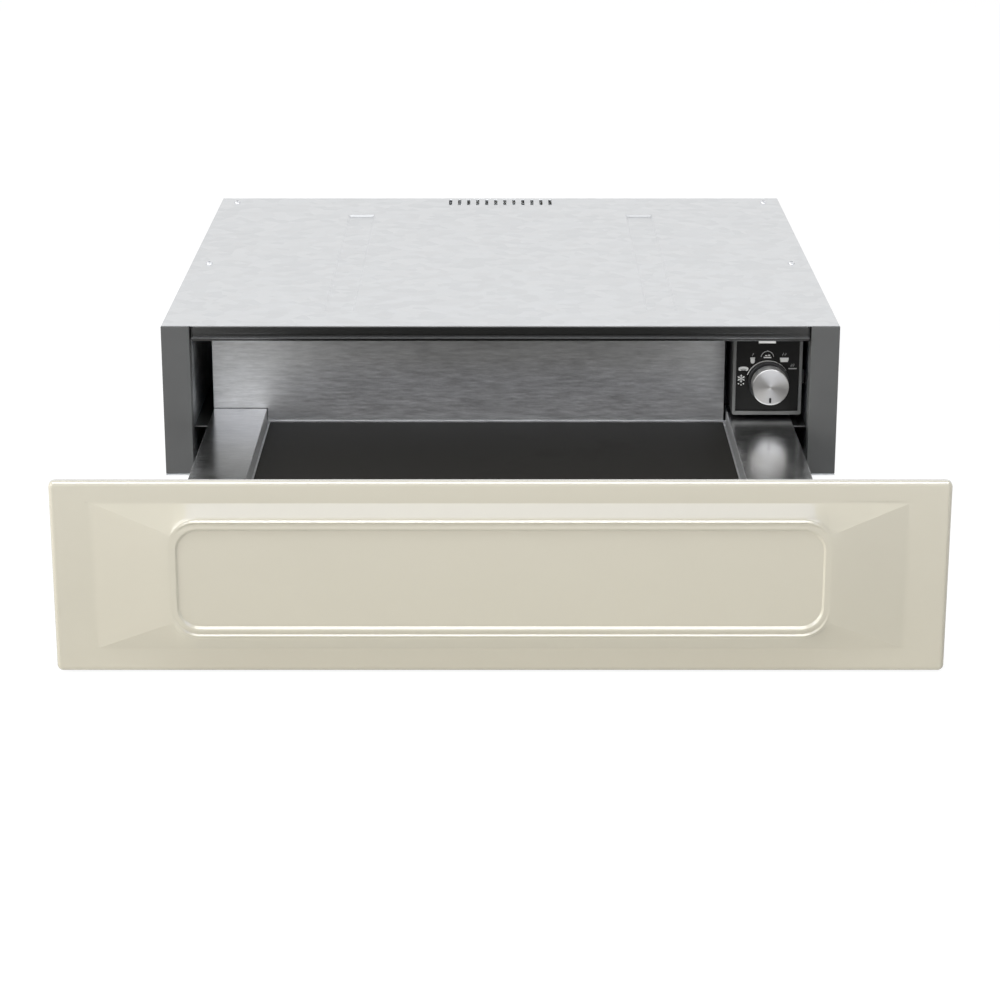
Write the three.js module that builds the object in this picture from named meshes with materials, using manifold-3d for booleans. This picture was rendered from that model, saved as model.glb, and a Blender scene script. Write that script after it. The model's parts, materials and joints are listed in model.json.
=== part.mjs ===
// A built-in warming drawer, drawn fully open.
// Millimetres. X runs to the right seen from the front, Y to the rear, Z up.
// The origin is the middle of the casing's footprint, on the surface it stands on.
// Inside the groups, y = 0 is the front plane of the body.

import * as THREE from "three";
import { mergeVertices } from "three/addons/utils/BufferGeometryUtils.js";
import Module from "manifold-3d";

const wasm = await Module();
wasm.setup();

// ---------------------------------------------------------------- driving sizes

// Body: the casing and the frame that shows at its front.
const BODY_WIDTH = 556;
const BODY_HEIGHT = 127;
const BODY_DEPTH = 530;
const SHEET = 1; // steel sheet of the casing, the chamber and the tray
const SEAT = 0.3; // gap between two pieces that are fixed to or rest on each other
const FLANGE = 12; // folded flanges of the sheet parts
const POST_WIDTH = 23.2;
const FRAME_DEPTH = 14; // front posts and top rail
const FRAME_STEP = 3; // front of the posts and the rail that stays level with the top cover
const RAIL_FACE = 6; // flat face of the top rail, above its groove
const RAIL_GROOVE = 2.8; // height of the groove between the face and the lip
const RAIL_GROOVE_DEPTH = 2;
const RAIL_LIP_REACH = 2; // the lip stands this far in front of the face
const RAIL_STRIP = 3; // height of the strip under the lip
const RAIL_STRIP_SETBACK = 3; // behind the front plane
const RAIL_END_NOTCH = 3; // dark gap between the rail's face and each post

// Chamber inside the casing.
const UNDERFLOOR = 6.7; // from the top of the base plate to the chamber floor
const ROOF_SPACE = 8.7; // from the chamber roof to the underside of the top cover
const BOSS_RADIUS = 9; // pressed-up feet of the base that carry the chamber floor
const BOSS_FOOT = 13;
const BOSS_ROWS = 3;
const BOSS_PITCH = 132; // front to rear
const BOSS_SPREAD = 400; // side to side
const COVER_RIB_DEPTH = 2; // stiffening ribs pressed down into the top cover
const COVER_RIB_WIDTH = 26;
const COVER_RIB_MARGIN = 40; // flat sheet left before and behind a rib
const COVER_RIB_SPREAD = 270;

// Travel and runners.
const RUNNER_SETBACK = 8; // front end of the runner behind the body's front plane
const RUNNER_REAR_GAP = 31.7; // rear end of the runner to the chamber's back plate
const TRAVEL_SHORTFALL = 22; // by which the drawer's travel is less than the runner's length
const RUNNER_HEIGHT = 30;
const RUNNER_WIDTH = 12.7;
const RUNNER_LIFT = 1.5; // underside of the runner above the chamber floor
const OUTER_SHEET = 1.2;
const MEMBER_SHEET = 1;
const RACE_LIP = 2.3; // height of the lips that keep the outer balls in
const OUTER_BALL_RADIUS = 1.8;
const INNER_BALL_RADIUS = 1.5;
const BALL_GAP = 0.15; // between a ball and its races
const CAGE_SHEET = 0.4;
const CAGE_BALLS = 5; // in each of a cage's two rows
const CAGE_BALL_PITCH = 32;
const CAGE_END = 11; // cage left beyond its last ball
const BRACKET_DEPTH = 13.7; // runner bracket, chamber wall to runner
const BRACKET_HEIGHT = 26;

// Tray.
const TRAY_SIDE_GAP = 12.8; // ledge to chamber wall
const LEDGE_LEFT = 45;
const LEDGE_RIGHT = 51.5;
const LEDGE_LIP = 1.5; // turned down below the ledge's own sheet
const LEDGE_CLEARANCE = 0.5; // ledge's lip above the runner
const TRAY_DROP = 14.5; // ledge top down to the pan's floor
const PAN_RIM = 8;
const PAN_REAR_UPSTAND = 4;
const SIDE_CHANNEL_LIFT = 2; // side channel above the chamber floor
const BACK_WALL_HEADROOM = 9.3; // below the chamber's roof
const BACK_WALL_FLANGE = 8;
const BACK_CLEARANCE = 2; // back wall's flange to the chamber's back plate, drawer closed
const BACK_WALL_SIDE_GAP = 4.4; // back wall to the control box
const MAT_THICKNESS = 2.3;
const MAT_MARGIN = 2;
const MAT_CORNER = 6;

// Front panel.
const PANEL_OVERHANG = 20.5; // beyond each side of the body
const PANEL_RISE = 7.5; // above the top of the body
const PANEL_LIFT = 1; // above the surface the casing stands on
const PANEL_THICKNESS = 18;
const SKIN = 1; // enamelled sheet
const SKIN_RETURN = 6; // edge turned to the rear
const SKIN_EDGE_RADIUS = 3;
const SKIN_CORNER_RADIUS = 4;
const BORDER_SIDE = 28; // flat border outside the raised frame
const BORDER_HEIGHT = 15.6; // above and below the raised frame
const RAISED_LIFT = 0.8; // raised frame above the middle of the panel
const RAISED_SIDE = 50; // sloping sides of the raised frame
const RAISED_RISE = 9.3; // its upper and lower slopes
const RAISED_HEIGHT = 7;
const BEAD_CORNER_RADIUS = 19.5;
const BEAD_SIDE = 5.5; // width of the bead on the left and right
const BEAD_LEVEL = 7.4; // width of its upper and lower run
const BEAD_RIDGE = 2.8; // width of the narrow ridge at its outer edge
const BEAD_ROUNDING = 0.8;
const FIELD_WALL = 1.5; // width of the bead's inner wall
const FIELD_RECESS = 2;
const FIELD_CORNER_RADIUS = 14;
const CORNER_STEPS = 6;
const LINER_SIDE_INSET = 12.5;
const LINER_TOP_DROP = 0.5; // top of the inner pan below the top of the body
const LINER_LIFT = 3.5;
const LINER_CORNER = 8;
const GASKET_WIDTH = 5.5;
const GASKET_THICKNESS = 3.2;
const GASKET_CORNER = 10;
const CLOSED_GAP = 0.5; // gasket to body, drawer closed

// Control box in the upper right corner.
const CONTROL_WIDTH = 57.4;
const CONTROL_HEADROOM = 5.3; // below the chamber's roof
const CONTROL_DEPTH = 58;
const CONTROL_SETBACK = 20; // behind the body's front plane
const CONTROL_SIDE_GAP = 4.4; // bezel to the inner edge of the post
const CONTROL_LIFT = 3; // above the tray's ledge
const CONTROL_WALL = 1.5;
const BEZEL_BAR = 2.6;
const BEZEL_TOP_BAR = 1.3;
const BEZEL_BOTTOM_BAR = 3.1;
const BEZEL_THICKNESS = 2;
const BEZEL_CORNER = 2;
const FASCIA_THICKNESS = 2;
const INDICATOR_WIDTH = 14;
const INDICATOR_HEIGHT = 2;
const INDICATOR_SHIFT = -0.7; // sideways from the middle of the bezel
const INDICATOR_PROUD = 0.5;
const KNOB_SHIFT_X = 1; // knob axis from the middle of the bezel
const KNOB_SHIFT_Z = -3.75;
const KNOB_CAP_RADIUS = 15.2;
const KNOB_CAP_WALL = 1.2;
const KNOB_CAP_EDGE = 0.8;
const KNOB_CAP_DEPTH = 12.5;
const KNOB_SKIRT_RADIUS = 17;
const KNOB_SKIRT_DEPTH = 4;
const KNOB_GAP = 0.5; // skirt to fascia
const KNOB_PROUD = 20.5; // cap face in front of the fascia
const SHAFT_RADIUS = 3;
const SHAFT_GAP = 0.35;
const POINTER_WIDTH = 1.6;
const POINTER_INNER = 8.9; // radii the pointer slot runs between
const POINTER_OUTER = 13;
const SELECTOR_DEPTH = 30;
const SELECTOR_WIDTH = 30;
const SELECTOR_HEIGHT = 36;

// Air and heat, behind the chamber's back plate.
const SLOT_WIDTH = 4;
const SLOT_HEIGHT = 9;
const SLOT_PITCH = 8;
const SLOT_COUNT = 16;
const ROTOR_RADIUS = 13;
const ROTOR_LENGTH = 140;
const ROTOR_BLADES = 18;
const ROTOR_HUB_RADIUS = 9.5; // inner edge of the blades
const ROTOR_DISC = 1.2;
const ROTOR_SHAFT_RADIUS = 2.5;
const ROTOR_GAP = 2; // rotor to scroll at their closest
const SCROLL_GROWTH = 4.5; // how far the scroll opens out to its mouth
const MOTOR_LENGTH = 30;
const MOTOR_SIZE = 29;
const HEATER_RADIUS = 3.2;
const HEATER_SPAN = 130; // straight runs of the element
const HEATER_BEND = 11; // radius of its U-turns
const HEATER_LIFT = 27; // lower run above the chamber floor
const GLAND_BORE = 4;
const GLAND_RADIUS = 8;
const GLAND_FROM_SIDE = 67;
const GLAND_LIFT = 16;
const SENSOR_FROM_SIDE = 111;
const CUTOUT_FROM_SIDE = 111;
const CUTOUT_LIFT = 54.5;
const CUTOUT_RADIUS = 8;
const TERMINAL_FROM_SIDE = 128;
const TERMINAL_PITCH = 11;
const TERMINAL_POLES = 3;
const REAR_VENT_SPREAD = 244; // between the two groups of the rear panel
const SIDE_VENT_SETBACK = 54; // from the rear
const VENT_COUNT = 12;
const VENT_WIDTH = 3;
const VENT_HEIGHT = 26;
const VENT_PITCH = 9;

// Push-to-open latch and door sensing, at the front of the chamber floor.
const LATCH_SETBACK = 22; // latch housing behind the body's front plane
const LATCH_LENGTH = 52;
const LATCH_WIDTH = 38;
const LATCH_WALL = 4;
const CARRIAGE_LENGTH = 26;
const CARRIAGE_WIDTH = 22;
const CARRIAGE_HEIGHT = 9;
const CARRIAGE_TRAVEL = 6;
const CARRIAGE_SLOT = 15; // depth of the slot that takes the striker
const STRIKER_WIDTH = 7;
const STRIKER_HEIGHT = 4.4;
const STRIKER_CLEARANCE = 1.6; // striker to carriage
const LATCH_SLIDE_GAP = 0.4;
const REED_X = -160;

// ---------------------------------------------------------------- derived places

const bodyHalf = BODY_WIDTH / 2;
const postInner = bodyHalf - POST_WIDTH; // inner face of the posts and of the chamber walls
const floorBottom = SHEET + UNDERFLOOR + SEAT;
const floorTop = floorBottom + SHEET;
const roofTop = BODY_HEIGHT - SHEET - ROOF_SPACE;
const roofBottom = roofTop - SHEET;
const casingFront = FRAME_DEPTH + SEAT;
const frameTop = BODY_HEIGHT - SHEET - SEAT; // posts and rail, under the top cover
const rearInside = BODY_DEPTH - SHEET - SEAT;

// The compartment behind the chamber is as deep as the blower's spiral wall needs.
const scrollSweep = 1.25 * Math.PI;
const scrollInner = ROTOR_RADIUS + ROTOR_GAP;
const scrollRearReach = scrollInner + SCROLL_GROWTH * (1 - Math.PI / 2 / scrollSweep) + SHEET + SEAT;
const compartmentMiddle = rearInside - scrollRearReach;
const backPlateRear = compartmentMiddle - scrollRearReach;
const chamberDepth = backPlateRear - SHEET; // front plane of the body to the chamber's back plate

const panelHalf = bodyHalf + PANEL_OVERHANG;
const panelHeight = BODY_HEIGHT + PANEL_RISE - PANEL_LIFT;
const panelMiddle = PANEL_LIFT + panelHeight / 2;
const linerRear = -CLOSED_GAP - GASKET_THICKNESS - SEAT;
const skinFront = linerRear - PANEL_THICKNESS;
const linerHalf = panelHalf - LINER_SIDE_INSET;
const linerTop = BODY_HEIGHT - LINER_TOP_DROP;

const runnerTop = floorTop + RUNNER_LIFT + RUNNER_HEIGHT;
const ledgeTop = runnerTop + LEDGE_CLEARANCE + LEDGE_LIP + SHEET;
const ledgeUnder = ledgeTop - SHEET;
const panTop = ledgeUnder - SEAT;
const panFloor = ledgeTop - TRAY_DROP;
const trayHalf = postInner - TRAY_SIDE_GAP;
const panLeft = LEDGE_LEFT - trayHalf;
const panRight = trayHalf - LEDGE_RIGHT;
const trayFront = linerRear + SEAT;
const trayRear = chamberDepth - BACK_CLEARANCE;
const wallFront = trayRear - BACK_WALL_FLANGE - SHEET;
const wallTop = roofBottom - BACK_WALL_HEADROOM;

const runnerMiddle = runnerTop - RUNNER_HEIGHT / 2;
const bracketFace = postInner - SEAT - BRACKET_DEPTH;
const runnerFace = bracketFace - SEAT; // mounting face of the outer member
const channelFace = runnerFace - RUNNER_WIDTH - SEAT; // side channel of the tray
const runnerRear = chamberDepth - RUNNER_REAR_GAP;
const travel = runnerRear - RUNNER_SETBACK - TRAVEL_SHORTFALL;
const outerInside = RUNNER_HEIGHT / 2 - OUTER_SHEET;
const middleOutside = outerInside - 2 * (OUTER_BALL_RADIUS + BALL_GAP);
const middleInside = middleOutside - MEMBER_SHEET;
const innerOutside = middleInside - 2 * (INNER_BALL_RADIUS + BALL_GAP);

const controlRight = postInner - CONTROL_SIDE_GAP;
const controlLeft = controlRight - CONTROL_WIDTH;
const controlBottom = ledgeTop + CONTROL_LIFT;
const controlTop = roofBottom - CONTROL_HEADROOM;
const bezelMiddleX = (controlLeft + controlRight) / 2;
const knobX = bezelMiddleX + KNOB_SHIFT_X;
const knobZ = (controlBottom + controlTop) / 2 + KNOB_SHIFT_Z;
const fasciaFront = CONTROL_SETBACK + BEZEL_THICKNESS + SEAT;
const fasciaRear = fasciaFront + FASCIA_THICKNESS;
const capFront = fasciaFront - KNOB_PROUD;
const wallRight = controlLeft - BACK_WALL_SIDE_GAP;

const rotorZ = roofBottom - ROTOR_RADIUS - ROTOR_GAP - SCROLL_GROWTH - SHEET - SEAT;
const carriageFloor = floorTop + SEAT + LATCH_WALL;
const carriageMiddle = carriageFloor + LATCH_SLIDE_GAP + CARRIAGE_HEIGHT / 2;

// ---------------------------------------------------------------- shapes

// A box between two x, two y and two z values.
function slab([x0, x1], [y0, y1], [z0, z1]) {
  return new THREE.BoxGeometry(x1 - x0, y1 - y0, z1 - z0).translate(
    (x0 + x1) / 2,
    (y0 + y1) / 2,
    (z0 + z1) / 2,
  );
}

function polygon(points) {
  return new THREE.Shape(points.map(([u, v]) => new THREE.Vector2(u, v)));
}

// A rectangle with round corners.
function roundedRectangle([u0, u1], [v0, v1], radius, shape = new THREE.Shape()) {
  shape.moveTo(u0 + radius, v0);
  shape.lineTo(u1 - radius, v0);
  shape.absarc(u1 - radius, v0 + radius, radius, -Math.PI / 2, 0);
  shape.lineTo(u1, v1 - radius);
  shape.absarc(u1 - radius, v1 - radius, radius, 0, Math.PI / 2);
  shape.lineTo(u0 + radius, v1);
  shape.absarc(u0 + radius, v1 - radius, radius, Math.PI / 2, Math.PI);
  shape.lineTo(u0, v0 + radius);
  shape.absarc(u0 + radius, v0 + radius, radius, Math.PI, 1.5 * Math.PI);
  return shape;
}

// The section of a folded sheet: the path is one face of it, and the sheet lies to its left.
function folded(path, thickness = SHEET) {
  const at = path.map(([u, v]) => new THREE.Vector2(u, v));
  const normals = at.slice(1).map((p, i) => {
    const along = p.clone().sub(at[i]).normalize();
    return new THREE.Vector2(-along.y, along.x);
  });
  const other = at.map((p, i) => {
    const before = normals[Math.max(i - 1, 0)];
    const after = normals[Math.min(i, normals.length - 1)];
    const mitre = before.clone().add(after);
    return p.clone().addScaledVector(mitre, thickness / (1 + before.dot(after)));
  });
  return new THREE.Shape([...at, ...other.reverse()]);
}

function extruded(shape, length, curveSegments = 4) {
  return new THREE.ExtrudeGeometry(shape, { depth: length, bevelEnabled: false, curveSegments });
}

// An outline in y and z, drawn out along x.
function alongX(shape, [x0, x1], curveSegments) {
  const turn = new THREE.Matrix4().makeBasis(
    new THREE.Vector3(0, 1, 0),
    new THREE.Vector3(0, 0, 1),
    new THREE.Vector3(1, 0, 0),
  );
  return extruded(shape, x1 - x0, curveSegments).applyMatrix4(turn).translate(x0, 0, 0);
}

// An outline in x and z, drawn out along y.
function alongY(shape, [y0, y1], curveSegments) {
  return extruded(shape, y1 - y0, curveSegments).rotateX(Math.PI / 2).translate(0, y1, 0);
}

// An outline in x and y, drawn out along z.
function alongZ(shape, [z0, z1], curveSegments) {
  return extruded(shape, z1 - z0, curveSegments).translate(0, 0, z0);
}

// A profile of [radius, y] points turned about a line along y. It runs towards +y on the outside.
function turned(profile, steps, x = 0, z = 0) {
  return new THREE.LatheGeometry(profile.map(([r, y]) => new THREE.Vector2(r, y)), steps).translate(x, 0, z);
}

// The same about a line along x.
function turnedX(profile, steps, y, z) {
  return turned(profile, steps).rotateZ(-Math.PI / 2).translate(0, y, z);
}

function bare(geometry) {
  const copy = geometry.clone();
  copy.deleteAttribute("normal");
  copy.deleteAttribute("uv");
  return mergeVertices(copy, 1e-4);
}

function solidOf(geometry) {
  const merged = bare(geometry);
  return new wasm.Manifold(
    new wasm.Mesh({
      numProp: 3,
      vertProperties: merged.getAttribute("position").array,
      triVerts: new Uint32Array(merged.index.array),
    }),
  );
}

function geometryOf(solid) {
  const mesh = solid.getMesh();
  const geometry = new THREE.BufferGeometry();
  geometry.setAttribute("position", new THREE.BufferAttribute(new Float32Array(mesh.vertProperties), 3));
  geometry.setIndex(Array.from(mesh.triVerts));
  geometry.computeVertexNormals();
  return geometry;
}

function join(...geometries) {
  return geometryOf(geometries.map(solidOf).reduce((whole, next) => whole.add(next)));
}

function cut(geometry, ...tools) {
  const tool = tools.map(solidOf).reduce((whole, next) => whole.add(next));
  return geometryOf(solidOf(geometry).subtract(tool));
}

// A solid with a rectangular top, larger than the two ranges by margin, whose sides lean in at
// 45 degrees down to its floor.
function tapered([x0, x1], [y0, y1], top, depth, margin) {
  const corners = [0, depth].flatMap((down) => {
    const out = margin - down;
    return [
      [x0 - out, y0 - out, top - down],
      [x1 + out, y0 - out, top - down],
      [x1 + out, y1 + out, top - down],
      [x0 - out, y1 + out, top - down],
    ];
  });
  return geometryOf(wasm.Manifold.hull(corners));
}

// The same piece for the left side: x changes sign and each triangle is turned round.
function mirrored(geometry) {
  const copy = bare(geometry).scale(-1, 1, 1);
  const index = copy.index.array;
  for (let i = 0; i < index.length; i += 3) {
    [index[i + 1], index[i + 2]] = [index[i + 2], index[i + 1]];
  }
  copy.computeVertexNormals();
  return copy;
}

// Closed rings of equal point counts, joined in order, with the first and last ring capped.
function lofted(rings) {
  const count = rings[0].length;
  const positions = rings.flat(2);
  const index = [];
  for (let ring = 0; ring + 1 < rings.length; ring += 1) {
    for (let i = 0; i < count; i += 1) {
      const a = ring * count + i;
      const b = ring * count + ((i + 1) % count);
      index.push(a, b, b + count, a, b + count, a + count);
    }
  }
  const last = (rings.length - 1) * count;
  for (let i = 1; i + 1 < count; i += 1) {
    index.push(0, i + 1, i);
    index.push(last, last + i, last + i + 1);
  }
  const geometry = new THREE.BufferGeometry();
  geometry.setAttribute("position", new THREE.Float32BufferAttribute(positions, 3));
  geometry.setIndex(index);
  geometry.computeVertexNormals();
  return geometry;
}

// ---------------------------------------------------------------- materials

function finish(color, roughness, metalness) {
  return () => new THREE.MeshStandardMaterial({ color, roughness, metalness });
}

const creamEnamel = finish(0xd3ccbb, 0.18, 0);
const darkPaint = finish(0x4a4a49, 0.45, 0.2);
const zincSheet = finish(0xc9ccce, 0.35, 0.9);
const brushedSteel = finish(0x9b9b99, 0.32, 1);
const runnerSteel = finish(0xb9bcc0, 0.3, 1);
const ballSteel = finish(0xdfe1e3, 0.12, 1);
const siliconeMat = finish(0x2c2b29, 0.75, 0);
const mineralWool = finish(0xc8b98a, 0.95, 0);
const blackPlastic = finish(0x161616, 0.4, 0);
const glossFascia = finish(0x2b2a29, 0.2, 0);
const spunMetal = finish(0xc4c4c2, 0.28, 1);
const whiteLens = finish(0xf4f4f0, 0.3, 0);
const gasketRubber = finish(0x33322f, 0.7, 0);
const whitePlastic = finish(0xdedcd6, 0.5, 0);
const heaterSheath = finish(0x6a655f, 0.5, 0.9);

// ---------------------------------------------------------------- assembly groups

const warmingDrawer = new THREE.Group();
const cabinet = new THREE.Group();
const drawer = new THREE.Group();
cabinet.position.y = -BODY_DEPTH / 2;
drawer.position.y = -travel;
warmingDrawer.add(cabinet);
cabinet.add(drawer);

function piece(parent, name, geometry, material) {
  const mesh = new THREE.Mesh(geometry, material());
  mesh.name = name;
  parent.add(mesh);
  return mesh;
}

// Makes a right-hand piece and its left-hand mirror image.
function pair(parent, name, geometry, material) {
  piece(parent, `${name}_right`, geometry, material);
  piece(parent, `${name}_left`, mirrored(geometry), material);
}

// Evenly spaced values about a middle.
function row(count, pitch, middle = 0) {
  return Array.from({ length: count }, (_, i) => middle + (i - (count - 1) / 2) * pitch);
}

// ---------------------------------------------------------------- casing

const bossRows = row(BOSS_ROWS, BOSS_PITCH, BODY_DEPTH / 2);
const bossPlaces = bossRows.flatMap((y) => row(2, BOSS_SPREAD).map((x) => [x, y]));

function casingBase() {
  const plate = slab([-bodyHalf, bodyHalf], [0, BODY_DEPTH], [0, SHEET]);
  const sillTop = floorTop + SEAT + SHEET;
  const sillPath = [
    [FLANGE, 0],
    [0, 0],
    [0, sillTop],
    [FLANGE / 2, sillTop],
  ];
  // The sill stands between the posts. Its top return covers the chamber floor's edge.
  const sill = alongX(folded(sillPath.reverse()), [-postInner + SEAT, postInner - SEAT]);
  const bosses = bossPlaces.map(([x, y]) =>
    turned(
      [
        [0, 0],
        [BOSS_FOOT, 0],
        [BOSS_RADIUS, floorBottom - SEAT],
        [0, floorBottom - SEAT],
      ],
      12,
    )
      .rotateX(Math.PI / 2)
      .translate(x, y, 0),
  );
  return join(plate, sill, ...bosses);
}

function casingSide() {
  const web = alongY(
    folded([
      [bodyHalf - FLANGE, SHEET + SEAT],
      [bodyHalf, SHEET + SEAT],
      [bodyHalf, frameTop],
      [bodyHalf - FLANGE, frameTop],
    ]),
    [casingFront, rearInside],
  );
  const ventRows = row(VENT_COUNT / 2, VENT_PITCH, BODY_DEPTH - SIDE_VENT_SETBACK);
  const vents = ventRows.map((y) =>
    slab(
      [bodyHalf - 2 * SHEET, bodyHalf + SHEET],
      [y - VENT_WIDTH / 2, y + VENT_WIDTH / 2],
      [BODY_HEIGHT / 2 - VENT_HEIGHT / 2, BODY_HEIGHT / 2 + VENT_HEIGHT / 2],
    ),
  );
  return cut(web, ...vents);
}

// Upright slots cut through a sheet from its front at y0 to its back at y1.
function slots(places, z, height, width, [y0, y1]) {
  return places.map((x) =>
    slab([x - width / 2, x + width / 2], [y0 - SHEET, y1 + SHEET], [z - height / 2, z + height / 2]),
  );
}

// The top cover has two long ribs pressed downwards and a row of vents over the rear compartment.
function casingTop() {
  const plate = slab([-bodyHalf, bodyHalf], [FRAME_STEP + SEAT, rearInside], [BODY_HEIGHT - SHEET, BODY_HEIGHT]);
  const run = [casingFront + COVER_RIB_MARGIN, chamberDepth - COVER_RIB_MARGIN];
  const ribs = row(2, COVER_RIB_SPREAD).map((x) => [x - COVER_RIB_WIDTH / 2, x + COVER_RIB_WIDTH / 2]);
  const underside = ribs.map((x) => tapered(x, run, BODY_HEIGHT, COVER_RIB_DEPTH + SHEET, SHEET));
  const hollow = ribs.map((x) => tapered(x, run, BODY_HEIGHT + SHEET, COVER_RIB_DEPTH + SHEET, SHEET));
  const vents = row(VENT_COUNT, VENT_PITCH).map((x) =>
    slab(
      [x - VENT_WIDTH / 2, x + VENT_WIDTH / 2],
      [compartmentMiddle - VENT_HEIGHT / 2, compartmentMiddle + VENT_HEIGHT / 2],
      [BODY_HEIGHT - 2 * SHEET, BODY_HEIGHT + SHEET],
    ),
  );
  return cut(join(plate, ...underside), ...hollow, ...vents);
}

const glandX = GLAND_FROM_SIDE - bodyHalf;
const glandZ = floorTop + GLAND_LIFT;

// A cylinder along y that cuts a round hole.
function drill(radius, x, z, [y0, y1]) {
  const low = y0 - SHEET;
  const high = y1 + SHEET;
  return turned([[0, low], [radius, low], [radius, high], [0, high]], 20, x, z);
}

function casingRear() {
  const thickness = [BODY_DEPTH - SHEET, BODY_DEPTH];
  const plate = slab([-bodyHalf, bodyHalf], thickness, [SHEET + SEAT, BODY_HEIGHT]);
  const vents = [-1, 1].flatMap((side) =>
    slots(
      row(VENT_COUNT, VENT_PITCH, (side * REAR_VENT_SPREAD) / 2),
      BODY_HEIGHT / 2,
      VENT_HEIGHT,
      VENT_WIDTH,
      thickness,
    ),
  );
  return cut(plate, ...vents, drill(GLAND_RADIUS + SEAT, glandX, glandZ, thickness));
}

piece(cabinet, "casing_base", casingBase(), zincSheet);
pair(cabinet, "casing_side", casingSide(), zincSheet);
piece(cabinet, "casing_top", casingTop(), zincSheet);
piece(cabinet, "casing_rear", casingRear(), zincSheet);

// ---------------------------------------------------------------- front frame

// Where the frame meets the top cover, its sheet steps down so that the cover lies level with it.
const steppedEdge = [
  [FRAME_DEPTH, frameTop],
  [FRAME_STEP, frameTop],
  [FRAME_STEP, BODY_HEIGHT],
  [0, BODY_HEIGHT],
];

function frontPost() {
  const section = folded([
    [postInner, FRAME_DEPTH],
    [postInner, 0],
    [bodyHalf, 0],
    [bodyHalf, FRAME_DEPTH],
  ]);
  const channel = alongZ(section, [SHEET + SEAT, BODY_HEIGHT]);
  const lid = alongX(folded([...steppedEdge, [0, frameTop - SHEET]]), [postInner, bodyHalf]);
  const overStep = slab(
    [postInner - SHEET, bodyHalf + SHEET],
    [FRAME_STEP, FRAME_DEPTH + SHEET],
    [frameTop, BODY_HEIGHT + SHEET],
  );
  return cut(join(channel, lid), overStep);
}

// Below its face the rail has a groove, a lip that stands out, and a strip set back under the lip.
function topRail() {
  const faceBottom = BODY_HEIGHT - RAIL_FACE;
  const lipTop = faceBottom - RAIL_GROOVE;
  const stripBottom = lipTop - SHEET - RAIL_STRIP;
  const front = folded([
    ...steppedEdge,
    [0, faceBottom],
    [RAIL_GROOVE_DEPTH, faceBottom],
    [RAIL_GROOVE_DEPTH, lipTop],
    [-RAIL_LIP_REACH, lipTop],
  ]);
  const strip = folded([
    [RAIL_STRIP_SETBACK, lipTop],
    [RAIL_STRIP_SETBACK, stripBottom],
    [FRAME_DEPTH, stripBottom],
  ]);
  const half = postInner - RAIL_END_NOTCH;
  // The strip and the lip run on to the posts. A tab bridges the notch beside the face, set back
  // where it stays in the dark.
  const lip = folded([[RAIL_STRIP_SETBACK + SHEET / 2, lipTop], [-RAIL_LIP_REACH, lipTop]]);
  const long = half + RAIL_END_NOTCH / 2;
  const tab = slab([half - SHEET, postInner - SEAT], [FRAME_DEPTH / 2, FRAME_DEPTH - SHEET / 2], [
    stripBottom + SHEET / 2,
    frameTop - SHEET / 2,
  ]);
  return join(
    alongX(front, [-half, half]),
    alongX(lip, [-long, long]),
    alongX(strip, [-long, long]),
    tab,
    mirrored(tab),
  );
}

pair(cabinet, "front_post", frontPost(), darkPaint);
piece(cabinet, "top_rail", topRail(), darkPaint);

// ---------------------------------------------------------------- chamber

const linerOuter = postInner + SHEET;

function linerFloor() {
  const tongue = postInner - SEAT;
  const outline = polygon([
    [-tongue, SHEET + SEAT],
    [tongue, SHEET + SEAT],
    [tongue, casingFront],
    [linerOuter, casingFront],
    [linerOuter, rearInside],
    [-linerOuter, rearInside],
    [-linerOuter, casingFront],
    [-tongue, casingFront],
  ]);
  return alongZ(outline, [floorBottom, floorTop]);
}

function linerShell() {
  const section = folded([
    [-postInner, floorTop + SEAT],
    [-postInner, roofBottom],
    [postInner, roofBottom],
    [postInner, floorTop + SEAT],
  ]);
  return alongY(section, [casingFront, chamberDepth - SEAT]);
}

const sensorX = SENSOR_FROM_SIDE - bodyHalf;
const sensorZ = (wallTop + roofBottom) / 2;
const SENSOR_RADIUS = 2;

function linerBack() {
  const thickness = [chamberDepth, backPlateRear];
  const plate = slab([-linerOuter, linerOuter], thickness, [floorTop + SEAT, roofTop]);
  const lowSlots = floorTop + 1.5 * SLOT_HEIGHT;
  const highSlots = rotorZ + ROTOR_RADIUS / 2 + SLOT_HEIGHT / 2;
  const air = [lowSlots, highSlots].flatMap((z) =>
    slots(row(SLOT_COUNT, SLOT_PITCH), z, SLOT_HEIGHT, SLOT_WIDTH, thickness),
  );
  return cut(plate, ...air, drill(SENSOR_RADIUS + SEAT, sensorX, sensorZ, thickness));
}

function insulationBlanket() {
  const outer = bodyHalf - SHEET - SEAT;
  const inner = linerOuter + SEAT;
  const low = 2 * SHEET + 2 * SEAT;
  const high = BODY_HEIGHT - COVER_RIB_DEPTH - SHEET - SEAT;
  const section = polygon([
    [outer, low],
    [outer, high],
    [-outer, high],
    [-outer, low],
    [-inner, low],
    [-inner, roofTop + SEAT],
    [inner, roofTop + SEAT],
    [inner, low],
  ]);
  return alongY(section, [casingFront + SEAT, chamberDepth - SEAT]);
}

function insulationFloor() {
  const half = linerOuter - SEAT;
  const block = slab([-half, half], [casingFront, chamberDepth], [SHEET + SEAT, floorBottom - SEAT]);
  const holes = bossPlaces.map(([x, y]) =>
    turned([[0, 0], [BOSS_FOOT + 2 * SEAT, 0], [BOSS_FOOT + 2 * SEAT, floorTop], [0, floorTop]], 12)
      .rotateX(Math.PI / 2)
      .translate(x, y, 0),
  );
  return cut(block, ...holes);
}

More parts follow.
